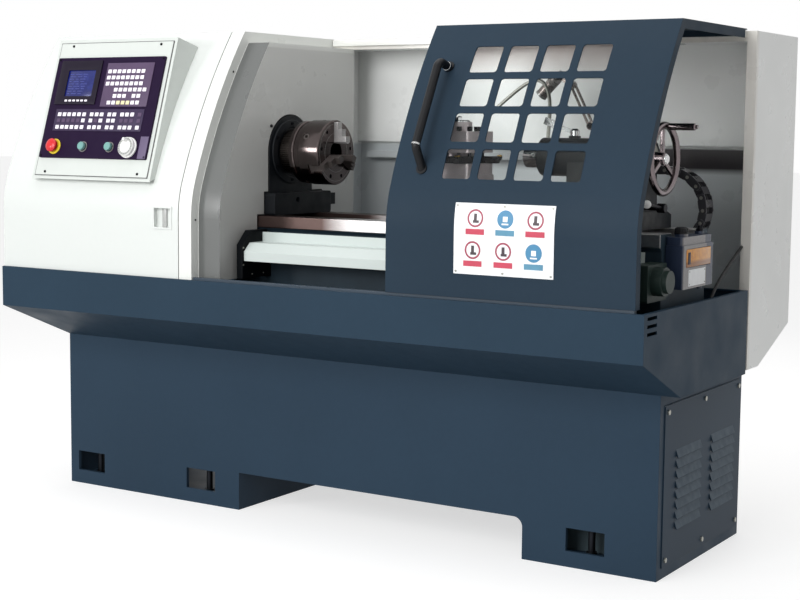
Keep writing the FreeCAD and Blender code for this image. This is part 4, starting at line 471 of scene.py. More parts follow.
# %% [markdown]
# ## Ground, turned and polished steel
#
# Bare steel shows how it was cut: a turned face carries rings about its axis, a ground slide
# straight lines, and a polished wheel little but the room. An anisotropic shader could do it;
# here stretched noise in the relief and the gloss does it. Rings need the distance from the turning
# axis, so the coordinates are moved to that axis and their length is taken.

# %% Steel with its tool marks
SPINDLE_Y = 400
SPINDLE_Z = 1136
RINGS_A_METRE = 900


def turned_steel(name, colour, level=0.3, ringed=0.25):
    """Steel with fine rings about the spindle's axis."""
    steel = Finish(name, colour, level, 1.0, 0.8)
    axis = at(0, SPINDLE_Y, SPINDLE_Z)
    length = steel.add("ShaderNodeVectorMath", operation="LENGTH")
    steel.put(length.inputs[0], steel.stretch(0, 1, 1, move=(0, -axis.y, -axis.z)))
    rings = steel.add("ShaderNodeTexNoise", noise_dimensions="1D")
    steel.feed(rings, W=steel.times(length.outputs["Value"], RINGS_A_METRE))
    steel.mottle(18, 4, 0.75)
    steel.gloss(rings.outputs["Fac"], 0.08, 0.12)
    steel.bump(rings.outputs["Fac"], ringed, 0.15)
    return steel


def ground_steel(name, colour, level=0.3, along=(1, 50, 50), edge=0.8, metal=1.0):
    """Steel with straight grinding lines along one axis."""
    steel = Finish(name, colour, level, metal, edge)
    lines = steel.noise(40, 3, steel.stretch(*along))
    steel.mottle(12, 4, 0.7)
    steel.gloss(lines, 0.08, 0.12)
    steel.bump(lines, 0.15, 0.1)
    return steel


turned_steel("chuck_steel", (94, 86, 85), 0.14, ringed=0.06).dress("chuck_body", "chuck_plate")
turned_steel("spindle_steel", (92, 86, 82), 0.3, ringed=0.1).dress("spindle")
turned_steel("pulley_iron", (110, 110, 108), 0.45).dress("spindle_pulley", "motor_pulley")
# chuck_jaw_1 and the scroll get a light steel, a painted highlight; jaws 2 and 3 and the pinions the
# same steel painted darker, a painted shade.
ground_steel("jaw_steel", (178, 176, 176), 0.3, (50, 1, 50), metal=0.5).dress(
    "chuck_jaw_1", "chuck_scroll")
ground_steel("jaw_steel_painted_shade", (92, 86, 84), 0.3, (50, 1, 50), metal=0.6).dress(
    "chuck_jaw_2", "chuck_jaw_3", "chuck_pinion_1", "chuck_pinion_2", "chuck_pinion_3")
ground_steel("turret_steel", (232, 218, 220), 0.34, (50, 50, 1), metal=0.45).dress(
    "turret_head", "tool_post")
ground_steel("slide_iron", (160, 150, 148), 0.38, metal=0.6).dress("carriage_saddle", "cross_slide")
ground_steel("tool_black", (62, 62, 66), 0.4, (30, 30, 1), 0.4).dress("cutting_tools")
ground_steel("bright_chrome", (214, 214, 214), 0.12, (4, 4, 4), 0.4).dress(
    "quill", "quill_lever", "z_screw")
ground_steel("wheel_chrome", (128, 118, 120), 0.16, (4, 4, 4), 0.4).dress(
    "handwheel", "handwheel_grip")
ground_steel("lamp_silver", (128, 120, 116), 0.28, (6, 6, 6), 0.5).dress("lamp_head", "lamp_arm")
ground_steel("pocket_black", (44, 46, 50), 0.5, (8, 8, 8), 0.5).dress("levelling_jacks")
ground_steel("zinc_steel", (168, 168, 160), 0.4, (8, 8, 8), 0.5).dress("cover_screws")
ground_steel("rail_steel", (150, 150, 148), 0.34, (1, 60, 60), 0.5)
print(len(FINISHES), "finishes with the steels")

# %% [markdown]
# ## Plastics, rubber and glass
#
# Buttons and housings are moulded plastic: even in colour, with a very fine grain from the mould.
# Rubber is the same with no gloss. The pane is clear acrylic; a plain glass shader would do, but a
# pane in a workshop is never clean, so its roughness drifts with a soft haze.

# %% Moulded and clear parts
LUBE_RIGHT = 424
PANE_REFLECTION_Z = (1.33, 1.44)


def moulded(name, colour, level=0.45, grain=0.12, scale=700, edge=0.6, shine=0.5):
    """Plastic or rubber with a fine moulded grain and a faint drift of tone."""
    skin = Finish(name, colour, level, edge=edge, shine=shine)
    skin.mottle(25, 3, 0.88)
    skin.gloss(skin.noise(40, 3), 0.05, 0.08)
    skin.bump(skin.noise(scale, 2), grain, 0.12)
    return skin


def lubricator_sheet(name):
    """Dark blue enamel with a bright brushed face towards the machine's right end."""
    sheet = Finish(name, (40, 50, 70), 0.34, edge=0.6)
    right = sheet.ramp(sheet.along("X", "Normal"), 0.6, 0.9)
    near = sheet.ramp(sheet.along("Y"), at(0, LUBE_RIGHT + 3, 0).y, at(0, LUBE_RIGHT, 0).y)
    brushed = sheet.noise(60, 3, sheet.stretch(50, 1, 50))
    bright = sheet.mix(sheet.ramp(brushed), tone(96, 94, 96), tone(142, 138, 138))
    sheet.colour(sheet.mix(sheet.times(right, near), sheet.tint, bright))
    sheet.feed(sheet.shader, Roughness=sheet.span(brushed, 0.26, 0.42))
    sheet.bump(sheet.noise(300, 2), 0.04, 0.1)
    return sheet


def clear_acrylic(name):
    """A pane that lets light through, with a little haze and a painted warm reflection at its head.
    """
    pane = Finish(name, (255, 255, 255), 0.03)
    clear = (0.93, 0.96, 0.95)
    high = pane.ramp(pane.along("Z"), *PANE_REFLECTION_Z)
    painted_reflection = pane.times(high, pane.span(pane.noise(5, 3), 0.4, 1))
    # A painted reflection: the warm tone (188, 168, 164) in patches at the head of the pane.
    pane.colour(pane.mix(painted_reflection, clear, tone(188, 168, 164)))
    pane.feed(pane.shader, Transmission_Weight=1.0, IOR=1.2,
              Roughness=pane.span(pane.noise(6, 4), 0.0, 0.06))
    return pane


moulded("black_plastic", (20, 21, 24), 0.4, shine=0.25).dress("door_handle", "main_switch")
moulded("black_enamel", (14, 17, 20), 0.5, 0.06, 400, 1.2, 0.08).dress(
    "way_cover_bracket", "x_motor", "lamp_base")
moulded("belt_rubber", (24, 24, 24), 0.75, 0.4, 500).dress("drive_belt")
moulded("chain_black", (62, 62, 66), 0.3, shine=0.4).dress("cable_chain")
moulded("panel_purple", (34, 20, 47), 0.55, 0.1, shine=0.1).dress("cnc_panel")
moulded("stop_red", (206, 34, 40), 0.3, 0.03).dress("estop_button")
moulded("button_green", (112, 160, 156), 0.34, 0.03).dress("start_button", "hold_button")
moulded("white_plastic", (236, 236, 234), 0.32, 0.03).dress("mpg_dial")
moulded("sign_film", (244, 246, 248), 0.38, 0.02).dress("sign_plate")
lubricator_sheet("lubricator").dress("lubricator")
clear_acrylic("clear_acrylic").dress("window_pane")
undressed = [n for n, o in nodes.items() if not o.data.materials[0].use_nodes]
print("nodes without a finish:", undressed)

# %% [markdown]
# ## More shapes for small parts
#
# A screen's surround is a frame with an opening, a bezel is a ring, and a screw has a head with a
# socket. The frame is two rectangles bridged and raised; ring and screw are turned, the socket
# being a step in the screw's outline. A shape that lies askew is made by itself and then moved into
# the larger mesh by a matrix.

# %% Frames, rings and screws
SCREW_SIDES = 12


def window_frame(bm, outer, inner, low, high, edge=0.0):
    """A flat frame round an opening; outer and inner are (left, foot, right, head)."""
    edges = []
    for left, foot, right, head in (outer, inner):
        corners = [bm.verts.new((u, v, low))
                   for u, v in ((left, foot), (right, foot), (right, head), (left, head))]
        edges += [bm.edges.new(pair) for pair in zip(corners, corners[1:] + corners[:1])]
    flat = bmesh.ops.bridge_loops(bm, edges=edges)["faces"]
    grown = bmesh.ops.extrude_face_region(bm, geom=flat)["geom"]
    raised = [part for part in grown if isinstance(part, bmesh.types.BMVert)]
    bmesh.ops.translate(bm, verts=raised, vec=(0, 0, high - low))
    if edge:
        bmesh.ops.bevel(bm, geom=bm.edges[:], offset=edge, segments=2, profile=0.5, affect="EDGES",
                        material=-1)


def ring(bm, centre, axis, inner, outer, low, high, edge=0.4, steps=32):
    """A ring between two heights over centre, its upper edges broken."""
    outline = [(inner, low), (outer, low), (outer, high - edge), (outer - edge, high),
               (inner + edge, high), (inner, high - edge), (inner, low)]
    turned(bm, centre, axis, outline, steps)


def screw(bm, centre, axis, radius, tall):
    """A round screw head with a socket; a negative tall turns it the other way."""
    hole = radius * 0.5
    outline = [(0, tall * 0.4), (hole, tall * 0.4), (hole, tall), (radius * 0.9, tall),
               (radius, tall * 0.85), (radius, 0), (0, 0)]
    turned(bm, centre, axis, outline, SCREW_SIDES)


def moved(bm, place, helper, *values):
    """A shape made by itself and put into its place in a larger mesh."""
    part = bmesh.new()
    helper(part, *values)
    part.transform(place)
    mesh = bpy.data.meshes.new("part")
    part.to_mesh(mesh)
    part.free()
    bm.from_mesh(mesh)
    bpy.data.meshes.remove(mesh)


print("a screw head takes", SCREW_SIDES * 6, "faces")

# %% [markdown]
# ## Finishes for the small parts
#
# Keys, rings and print need colours of their own, but most are plastic or steel that the workshop
# above makes. Two are new. The screen is lit from behind, an uneven deep blue with a painted pale
# reflection in one corner, so its glow, the painted reflection too, comes from the same blend as
# its colour. The lubricator's window is tinted plastic, in which the oil shows as a darker foot.

# %% Screen, amber and the other small finishes
OIL_LEVEL = 0.868
SCREEN_GLOW = 0.15


def lit_screen(name):
    """A blue display, brighter in slow patches, and towards its upper right corner a painted
    reflection.
    """
    screen = Finish(name, (22, 28, 96), 0.2)
    # A painted reflection: brighter and glowing more towards the upper right corner.
    painted_corner_reflection = screen.ramp(screen.sum("ADD", screen.along("X"), screen.along("Z")), 0.52, 0.68)
    patches = screen.span(screen.noise(55, 2), 0, 0.6, 0.45, 0.75)
    bright = screen.sum("MAXIMUM", painted_corner_reflection, patches)
    blue = screen.mix(bright, tone(16, 26, 88), tone(40, 50, 118))
    screen.feed(screen.shader, Base_Color=blue, Emission_Color=blue, Emission_Strength=SCREEN_GLOW)


def amber_plastic(name):
    """Tinted plastic with oil behind it up to a level."""
    amber = Finish(name, (224, 150, 40), 0.25, edge=0.6)
    full = amber.ramp(amber.along("Z"), OIL_LEVEL + 0.004, OIL_LEVEL - 0.004)
    tint = amber.mix(amber.ramp(amber.noise(60, 2)), tone(232, 158, 44), tone(206, 128, 34))
    amber.colour(amber.mix(full, tint, tone(150, 92, 30)))
    amber.bump(amber.noise(300, 2), 0.1)


lit_screen("screen_blue")
amber_plastic("oil_amber")
moulded("panel_black", (24, 15, 34), 0.42, 0.08, shine=0.2)
moulded("keypad_grey", (84, 68, 94), 0.5, 0.1, shine=0.3)
moulded("strip_purple", (54, 42, 70), 0.5, 0.1, shine=0.3)
moulded("patch_maroon", (96, 84, 112), 0.55, 0.1)
moulded("key_white", (246, 240, 250), 0.4, 0.04)
moulded("key_amber", (232, 222, 178), 0.4, 0.04)
moulded("screen_pale", (62, 70, 140), 0.4, 0.03)
moulded("ring_yellow", (232, 206, 52), 0.38, 0.04)
for shade, colour in (("maroon", (158, 62, 84)), ("blue", (66, 132, 172)), ("red", (196, 62, 86)),
                      ("steel_blue", (86, 142, 170)), ("dark", (58, 44, 52))):
    moulded("print_" + shade, colour, 0.42, 0.02)
moulded("seal_rubber", (26, 26, 28), 0.7, 0.3, 500)
moulded("painted_shadow_grey", (96, 97, 98), 0.65, 0.2, 500)
ground_steel("black_oxide", (36, 36, 40), 0.45, (6, 6, 6), 0.3)
ground_steel("cut_carbide", (206, 168, 92), 0.3, (9, 9, 9), 0.2)
ground_steel("brass", (190, 160, 92), 0.35, (9, 9, 9), 0.3)
print(len(FINISHES), "finishes in all")

# %% [markdown]
# ## The screen
#
# The screen is at the operator's eyes, in a deep surround that keeps chips and glare off it: a
# frame with bevelled edges, the display inside. Its rows could be drawn in the material, but plain
# bars that stand a little proud keep sharp edges from close by. A loop sets them out, and their
# lengths follow a small repeating step, so that the rows don't look copied.

# %% Screen, surround and rows
PANEL_TOP = 9
SCREEN = (77, 270, 192, 356)
ROWS = 9
ROW_STEP = 8
ROW_INSET = 8
WORD_GAP = 7

piece("screen_bezel", "panel_black", "panel_dark",
      (window_frame, (40, 243, 213, 388), SCREEN, PANEL_TOP, PANEL_TOP + 4, 0.9), place=FACE)
piece("screen_glass", "screen_blue", "panel_dark",
      (block, (SCREEN[0] - 1, SCREEN[1] - 1, PANEL_TOP),
       (SCREEN[2] + 1, SCREEN[3] + 1, PANEL_TOP + 1.2), 0.3), place=FACE)

rows = []
for row in range(ROWS):
    foot = SCREEN[1] + ROW_INSET + row * ROW_STEP
    start = SCREEN[0] + ROW_INSET
    for word in range(3):
        length = 10 + (row * 7 + word * 11) % 17
        end = (start + length, foot + 2.2, PANEL_TOP + 1.5)
        rows.append((block, (start, foot, PANEL_TOP + 1), end))
        start += length + WORD_GAP
piece("screen_rows", "screen_pale", "panel_dark", *rows, place=FACE)
piece("soft_keys", "key_white", "dial_white",
      *[(block, (left, 252, PANEL_TOP + 3.5), (left + 11, 258, PANEL_TOP + 5), 0.5, 1)
        for left in range(84, 170, 17)], place=FACE)
print("screen", SCREEN[2] - SCREEN[0], "by", SCREEN[3] - SCREEN[1], "mm with", ROWS, "rows")

# %% [markdown]
# ## The keys
#
# Two pads of membrane keys sit on the dark panel: one for typing, right of the screen, and one for
# driving the machine, a strip under it. Each pad is a thin plate; its keys are small blocks with
# one bevel, few faces each, because there are so many. A row is written as the columns that hold a
# key, so the gaps between groups stay where they are on the real panel.

# %% Keypad and strip
KEY_WIDE = 15
KEY_TALL = 12.5
KEY_PROUD = 2.2
DULL_PROUD = 1.4
PAD_TOP = PANEL_TOP + 2
PAD_FIRST = 251.8
PAD_STEP = 19.6
STRIP_TOP = PANEL_TOP + 1.6
STRIP_ROWS = (210, 190, 168)


def keys(bm, middles, middle_v, base, proud=KEY_PROUD):
    """A row of keys with the given middles, standing on base."""
    for u in middles:
        block(bm, (u - KEY_WIDE / 2, middle_v - KEY_TALL / 2, base),
              (u + KEY_WIDE / 2, middle_v + KEY_TALL / 2, base + proud), 1.0, 1)


def pad_keys(columns, middle_v):
    """One row of the keypad, by its columns."""
    return (keys, [PAD_FIRST + PAD_STEP * column for column in columns], middle_v, PAD_TOP)


pad_rows = [(range(8), 350.7), (range(8), 330.7), (range(8), 310.7), (range(2, 9), 290.7),
            ((2, 3, 4, 6, 7), 270.2), ((1, 2, 6, 7), 248.5)]
strip_columns = [74, 95, 115, 136, 157, 179, 211, 232, 253, 285, 305.5, 338, 358, 379, 409]
lit_middle = (179, 211, 253, 285, 305)
dull_middle = [u for u in strip_columns if int(u) not in lit_middle]

piece("keypad_plate", "keypad_grey", "panel_dark",
      (block, (236, 236, PANEL_TOP), (428, 379, PAD_TOP), 0.8), place=FACE)
piece("keypad_keys", "key_white", "dial_white", *[pad_keys(*row) for row in pad_rows], place=FACE)
piece("keypad_keys_amber", "key_amber", "dial_white", pad_keys((3, 4, 5), 248.5), place=FACE)
piece("strip_plate", "strip_purple", "panel_dark",
      (block, (55, 156, PANEL_TOP), (424, 228, STRIP_TOP), 0.8), place=FACE)
piece("strip_keys", "key_white", "dial_white",
      (keys, strip_columns[:-1], STRIP_ROWS[0], STRIP_TOP),
      (keys, lit_middle, STRIP_ROWS[1], STRIP_TOP),
      (keys, strip_columns, STRIP_ROWS[2], STRIP_TOP), place=FACE)
piece("strip_keys_dull", "keypad_grey", "panel_dark",
      (keys, dull_middle, STRIP_ROWS[1], STRIP_TOP, DULL_PROUD),
      (keys, strip_columns[-1:], STRIP_ROWS[0], STRIP_TOP, DULL_PROUD), place=FACE)
piece("port_cover", "patch_maroon", "panel_dark",
      (block, (431, 70, PANEL_TOP), (463, 141, PANEL_TOP + 0.8), 0.4), place=FACE)
print("keypad rows:", len(pad_rows), "strip keys:", len(strip_columns))

# %% [markdown]
# ## Around the buttons
#
# The red stop head stands on a yellow collar, so that a hand finds it without looking, and each
# green button has a bright ring. On the handwheel dial lies a pale scale with a dark tick for every
# five of its hundred divisions, long at the quarters. Collar and rings stay on the machine while
# the heads move; the scale turns with the dial. A grey frame round the plate is a painted shadow
# along its edge.

# %% Collars, rings, scale, screws and the plate's painted edge shadow
STOP = (79, 104)
GREEN_BUTTONS = ((200, 105), (311, 105))
DIAL = (390, 104)
DIAL_TOP = 27
TICKS = 20
QUARTER = TICKS // 4
PLATE_TOP = 3
EDGE_SHADOW = (10.8, 10.8, 481.2, 451.6)
EDGE_SHADOW_WIDE = 2.2


def tick_start(tick):
    """The radius where a tick starts; the quarters are longer."""
    return 23.5 if tick % QUARTER else 21.5


piece("stop_collar", "ring_yellow", "button_green",
      (ring, (*STOP, PANEL_TOP), "z", 12.6, 25, 0, 3.5, 1.0, 40), place=FACE)
piece("button_rings", "rail_steel", "zinc_steel",
      *[(ring, (*middle, PANEL_TOP), "z", 13.5, 17, 0, 2.6, 0.8) for middle in GREEN_BUTTONS],
      place=FACE)
piece("dial_scale", "inner_grey", "dial_white",
      (ring, (*DIAL, DIAL_TOP), "z", 20.5, 27.5, -0.2, 0.7, 0.2, 48), body="dial", place=FACE)
piece("dial_ticks", "black_plastic", "switch_black",
      *[(moved, Matrix.Translation((*DIAL, 0)) @ Matrix.Rotation(math.tau * tick / TICKS, 4, "Z"),
         block, (tick_start(tick), -0.45, DIAL_TOP + 0.5), (26.8, 0.45, DIAL_TOP + 1.0))
        for tick in range(TICKS)], body="dial", place=FACE)
piece("panel_screws", "black_oxide", "zinc_steel",
      *[(screw, (u, v, PLATE_TOP), "z", 4.2, 2.4)
        for u, v in ((66, 440), (432, 440), (54, 23), (440, 23))],
      *[(screw, (u, v, PANEL_TOP), "z", 3.2, 1.8) for u in (27, 458) for v in (75, 392)],
      place=FACE)
# A painted shadow: a thin grey frame along the control plate's edge.
piece("plate_edge_shadow", "painted_shadow_grey", "belt_rubber",
      (window_frame, EDGE_SHADOW, (EDGE_SHADOW[0] + EDGE_SHADOW_WIDE, EDGE_SHADOW[1] + EDGE_SHADOW_WIDE, EDGE_SHADOW[2] - EDGE_SHADOW_WIDE,
                            EDGE_SHADOW[3] - EDGE_SHADOW_WIDE), -0.2, 2.4), place=FACE)
print(TICKS, "ticks on the dial")

# %% [markdown]
# ## The door's plate
#
# Low on the sliding door is a white plate with six round signs, red rings and blue discs. The
# door's skin bends just there, so the print is made flat, cut fine enough to bend, and then
# wrapped: points above the bend's start are laid along its arc. That keeps every sign equally proud
# of the plate.

# %% Wrapping print onto the bent door
DOOR_FRONT = 10
BEND_START = 940
BEND_RADIUS = 320
PLATE_FACE = 8.2
INK = 0.35
SIGN_RADIUS = 24
RING_INSIDE = SIGN_RADIUS - 5


def wrap_on_door(bm):
    """Lay a flat mesh (x, height off the plate as -y, z) onto the door's bend."""
    for vert in bm.verts:
        off = -vert.co.y
        along = vert.co.z - BEND_START
        if along <= 0:
            vert.co.y = PLATE_FACE - off
            continue
        reach = BEND_RADIUS + DOOR_FRONT - PLATE_FACE + off
        turn = along / BEND_RADIUS
        vert.co.y = DOOR_FRONT + BEND_RADIUS - reach * math.cos(turn)
        vert.co.z = BEND_START + reach * math.sin(turn)


def door_print(name, finish, *shapes, slot="sign_white"):
    """A piece that is wrapped onto the door and slides with it."""
    piece(name, finish, slot, *shapes, (wrap_on_door,), body="door")


rings_at = [(1757, 978), (1936, 978), (1751, 893), (1843, 893)]
discs_at = [(1847, 978), (1933, 893)]
ring_outline = [(RING_INSIDE, 0), (SIGN_RADIUS, 0), (SIGN_RADIUS, -INK), (RING_INSIDE, -INK),
                (RING_INSIDE, 0)]
disc_outline = [(0, 0), (SIGN_RADIUS, 0), (SIGN_RADIUS, -INK), (16, -INK), (8, -INK), (0, -INK)]
door_print("sign_rings", "print_maroon",
           *[(turned, (x, 0, z), "y", ring_outline, 48) for x, z in rings_at])
door_print("sign_discs", "print_blue",
           *[(turned, (x, 0, z), "y", disc_outline, 48) for x, z in discs_at])

# %% [markdown]
# Inside each ring and disc is a plain shape, and under each a bar: thin blocks, which alone would
# stay straight on the bend. So their upright edges are subdivided before they are wrapped.

# %% Shapes, bars and the plate's screws
BAR_DROP = 36
CUTS = 3


def cut_block(bm, middle, half_wide, half_tall, depth):
    """A block whose upright edges are cut, alone in its mesh."""
    block(bm, (middle[0] - half_wide, -depth, middle[1] - half_tall),
          (middle[0] + half_wide, 0, middle[1] + half_tall))
    upright = [e for e in bm.edges if abs(e.verts[0].co.z - e.verts[1].co.z) > half_tall]
    bmesh.ops.subdivide_edges(bm, edges=upright, cuts=CUTS, use_grid_fill=True)


def ink(places, right, up, half_wide, half_tall, depth=INK):
    """A thin block of print at each place, moved right and up from it."""
    return [(moved, Matrix.Identity(4), cut_block, (x + right, z + up), half_wide, half_tall, depth)
            for x, z in places]


door_print("sign_marks_dark", "print_dark", *ink(rings_at, 0, 3, 4.5, 9),
           *ink(rings_at, 2, -9, 9, 3.5))
door_print("sign_marks_pale", "sign_film", *ink(discs_at, 0, 0, 7, 7, INK * 2),
           *ink(discs_at, 0, -13, 10, 2, INK * 2))
door_print("sign_bars_red", "print_red", *ink(rings_at, 0, -BAR_DROP, 28, 7.5))
door_print("sign_bars_blue", "print_steel_blue", *ink(discs_at, 0, -BAR_DROP, 28, 7.5))
door_print("sign_screws", "zinc_steel",
           *[(screw, (x, 0, z), "y", 3, -1.6) for x in (1700, 1842, 1984) for z in (835, 1011)],
           slot="zinc_steel")
print(len(rings_at), "rings and", len(discs_at), "discs on the plate")

# %% [markdown]
# ## The finger pull
#
# The headstock cover has a square finger pull low at its right. Its lip is a frame round the
# recess, raised a little from the sheet: the same helper as the screen's surround, turned upright
# with a matrix whose w points out of the front.

# %% The pull's lip and grip
FRONT = TRAY @ Matrix.Translation((0, 10, 0)) @ Matrix.Rotation(math.radians(90), 4, "X")
PULL = (635, 902, 711, 972)
LIP_WIDE = 6.5

piece("pull_lip", "cover_white", "cover_white",
      (window_frame, PULL, (PULL[0] + LIP_WIDE, PULL[1] + LIP_WIDE, PULL[2] - LIP_WIDE,
                            PULL[3] - LIP_WIDE), -1, 2.2, 0.8), place=FRONT)
piece("pull_grip", "inner_grey", "cover_white",
      (block, (664, 908, -13.8), (682, 966, -9), 2, 3), place=FRONT)
print("finger pull", PULL[2] - PULL[0], "by", PULL[3] - PULL[1], "mm")

# %% [markdown]
# ## The headstock's nose and the chuck
#
# Where the spindle leaves the headstock there is a bearing cover, a ring held by six socket screws.
# The chuck's face has screws in its counterbores and two fine turned rings. Screws could be placed
# one by one, but a circle divides itself: one function gives the angles, another the point at each,
# on a circle across the spindle.

# %% Bearing cover and chuck screws
NOSE_FACE = 868
COVER_SCREWS_AT = 88
CHUCK_FACE = 1040
CHUCK_SCREWS_AT = 78
SCREW_LEAN = math.radians(22)


def around(count, first=0.0):
    """Angles of count places round a circle, in radians."""
    return [math.radians(first) + math.tau * k / count for k in range(count)]


def on_circle(centre, radius, angle):
    """A point on a circle across the x axis."""
    x, y, z = centre
    return (x, y + radius * math.cos(angle), z + radius * math.sin(angle))


def on_spindle(x):
    """A point on the spindle's axis."""
    return (x, SPINDLE_Y, SPINDLE_Z)


piece("bearing_cover", "casting_dark", "head_paint",
      (ring, on_spindle(NOSE_FACE), "x", 76, 100, -2, 5, 2, 64))
piece("bearing_screws", "black_oxide", "zinc_steel",
      *[(screw, on_circle(on_spindle(NOSE_FACE + 5), COVER_SCREWS_AT, angle), "x", 5.5, 3)
        for angle in around(6, 30)])
piece("chuck_screws", "black_oxide", "jaw_steel",
      *[(screw, on_circle(on_spindle(CHUCK_FACE - 6.5), CHUCK_SCREWS_AT, angle + lean), "x", 5.4, 4)
        for angle in around(3, 150) for lean in (-SCREW_LEAN, SCREW_LEAN)], body="spindle_unit")
piece("chuck_face_rings", "rail_steel", "chuck_steel",
      *[(ring, on_spindle(CHUCK_FACE), "x", radius, radius + 0.8, -0.4, 0.25, 0.1, 96)
        for radius in (60, 88)], body="spindle_unit")
print("screws round the nose at", COVER_SCREWS_AT, "mm")

# %% [markdown]
# ## Inside the enclosure
#
# Small dark knobs hold the inner wall, and five screws the bracket of the way cover. On the
# carriage, rubber wipers in steel plates keep chips off the ways, one at each end of the saddle on
# each way, so a loop over two ends and two ways makes all four.

# %% Wall knobs, bracket screws and wipers
WALL_X = 866
RIM_X = 784.5
BRACKET_X = 906
BED_TOP = 941
WAYS = ((232, 309), (491, 568))
SADDLE_ENDS = ((1430, -1), (1690, 1))
WIPER_THICK = 5

piece("wall_knobs", "black_plastic", "switch_black",
      *[(disc, (WALL_X - 0.5, y, z), "x", 5, 5.5, 1.5, 20)
        for y, z in ((298, 1216), (150, 800), (640, 820))])
piece("rim_plugs", "black_plastic", "switch_black",
      *[(disc, (RIM_X, y, z), "x", 3.5, 1.6, 0.6, 16) for y, z in ((30, 934), (214, 1380))])
piece("bracket_screws", "zinc_steel", "zinc_steel",
      *[(screw, (BRACKET_X, y, z), "x", 2.6, 2)
        for y, z in ((106.6, 852), (106.6, 800), (150, 770), (205, 770), (216, 885))])

wipers, plates = [], []
for end, way in SADDLE_ENDS:
    for low, high in WAYS:
        near, far = sorted((end, end + way * WIPER_THICK))
        wipers.append((block, (near, low + 1, BED_TOP + 0.4), (far, high - 1, BED_TOP + 20), 1.5))
        near, far = sorted((end + way * (WIPER_THICK - 0.5), end + way * (WIPER_THICK + 2)))
        plates.append((block, (near, low + 4, BED_TOP + 5), (far, high - 4, BED_TOP + 18), 0.8))
        for y in (low + 14, high - 14):
            spot = (end + way * (WIPER_THICK + 1.8), y, BED_TOP + 11.5)
            plates.append((screw, spot, "x", 3, way * 1.8))
piece("way_wipers", "seal_rubber", "belt_rubber", *wipers, body="carriage")
piece("wiper_plates", "zinc_steel", "zinc_steel", *plates, body="carriage")
print(len(wipers), "wipers on the ways")

# %% [markdown]
# The four tools in the turret get their inserts, small square tips of carbide, gold from their
# coating, each held by one screw. One is modelled at the front and turned round the turret's axis
# by quarters.

# %% Carbide tips and the turret's nut
TURRET = (1560, 255)
TURRET_TOP = 1232
TIP_TOP = 1136

quarters = [Matrix.Translation((*TURRET, 0)) @ Matrix.Rotation(turn, 4, "Z") for turn in around(4)]
piece("carbide_tips", "cut_carbide", "tool_steel",
      *[(moved, turn, block, (97, 52, TIP_TOP - 1), (108.5, 64, TIP_TOP + 3.5), 0.8)
        for turn in quarters], body="turret")
piece("tip_screws", "black_oxide", "tool_steel",
      *[(moved, turn, screw, (102.5, 58, TIP_TOP + 3.2), "z", 3.2, 1.4) for turn in quarters],
      body="turret")
piece("turret_nut", "bright_chrome", "turret_steel",
      (ring, (*TURRET, TURRET_TOP), "z", 9, 34, -1, 5, 2, 40),
      (turned, (*TURRET, TURRET_TOP - 1), "z", [(0, 0), (12, 0), (12, 14), (9, 17), (0, 17)], 6),
      body="turret")
print(len(quarters), "tips, turned by quarters")

# %% [markdown]
# ## The right-hand end
#
# Behind the open end of the door sit the lubricator, the tailstock's handwheel and the cable chain.
# The lubricator's face is bright sheet with an amber oil window, a filler cap, a bare plate and a
# dark slot. Its coolant line is a hose: a circle could be swept by hand, but a curve bends it
# smoothly by itself.

# %% Lubricator
LUBE_FACE = 2244
LUBE_TOP = 941
WINDOW_Y = (283, 456)
CAP = (2217, 310)
CAP_RADIUS = 16

piece("lube_window", "oil_amber", "lube_blue",
      (block, (LUBE_FACE - 2.9, WINDOW_Y[0], 853), (LUBE_FACE + 1.4, WINDOW_Y[1], 901), 3, 3))
piece("lube_slot", "panel_black", "lube_blue",
      (block, (LUBE_FACE + 0.9, 291, 861), (LUBE_FACE + 2.2, 309, 893), 1.2))
piece("lube_plate", "sign_film", "sign_white",
      (block, (LUBE_FACE - 0.5, 300, 802), (LUBE_FACE + 0.8, 420, 846), 0.5))
piece("lube_plate_screws", "zinc_steel", "zinc_steel",
      *[(screw, (LUBE_FACE + 0.7, y, z), "x", 2, 1) for y in (306, 414) for z in (807, 841)])

grips = [(CAP[0] + CAP_RADIUS * math.cos(a), CAP[1] + CAP_RADIUS * math.sin(a)) for a in around(14)]
piece("lube_cap", "black_plastic", "switch_black",
      (turned, (*CAP, LUBE_TOP), "z", [(0, 0), (19, 0), (19, 3), (CAP_RADIUS, 4), (CAP_RADIUS, 15),
                                       (13, 18), (0, 18)], 28),
      *[(block, (x - 1.4, y - 1.4, LUBE_TOP + 4), (x + 1.4, y + 1.4, LUBE_TOP + 15), 0.6, 1)
        for x, y in grips])
piece("lube_outlet", "black_oxide", "zinc_steel",
      (turned, (CAP[0], 437, LUBE_TOP), "z",
       [(0, 0), (10, 0), (10, 7), (6, 9), (6, 16), (0, 16)], 6))
hose("coolant_line", "seal_rubber", 4.5,
     [(2225, y, z) for y, z in ((752, 880), (715, 862), (620, 820), (560, 786), (520, 750))])
print("oil window", WINDOW_Y[1] - WINDOW_Y[0], "mm wide")

# %% [markdown]
# ## The tailstock's clamp, the wheel's hub and the oilers
#
# A lever is boss, rod and ball. The rod's far end is where the ball has to be, and one matrix lays
# a rod along any line between two points, which also serves for the collars on the door's handle.
# Oilers and clamp nuts are turned, one outline for each kind.

# %% Rods between two points
BOSS_Y, BOSS_Z = 365, 1004
BALL = Vector((2137, 262, 1018))
WHEEL_FACE = 2130.5
DIAL_PLATE = 2090
DIAL_MARKS = 40


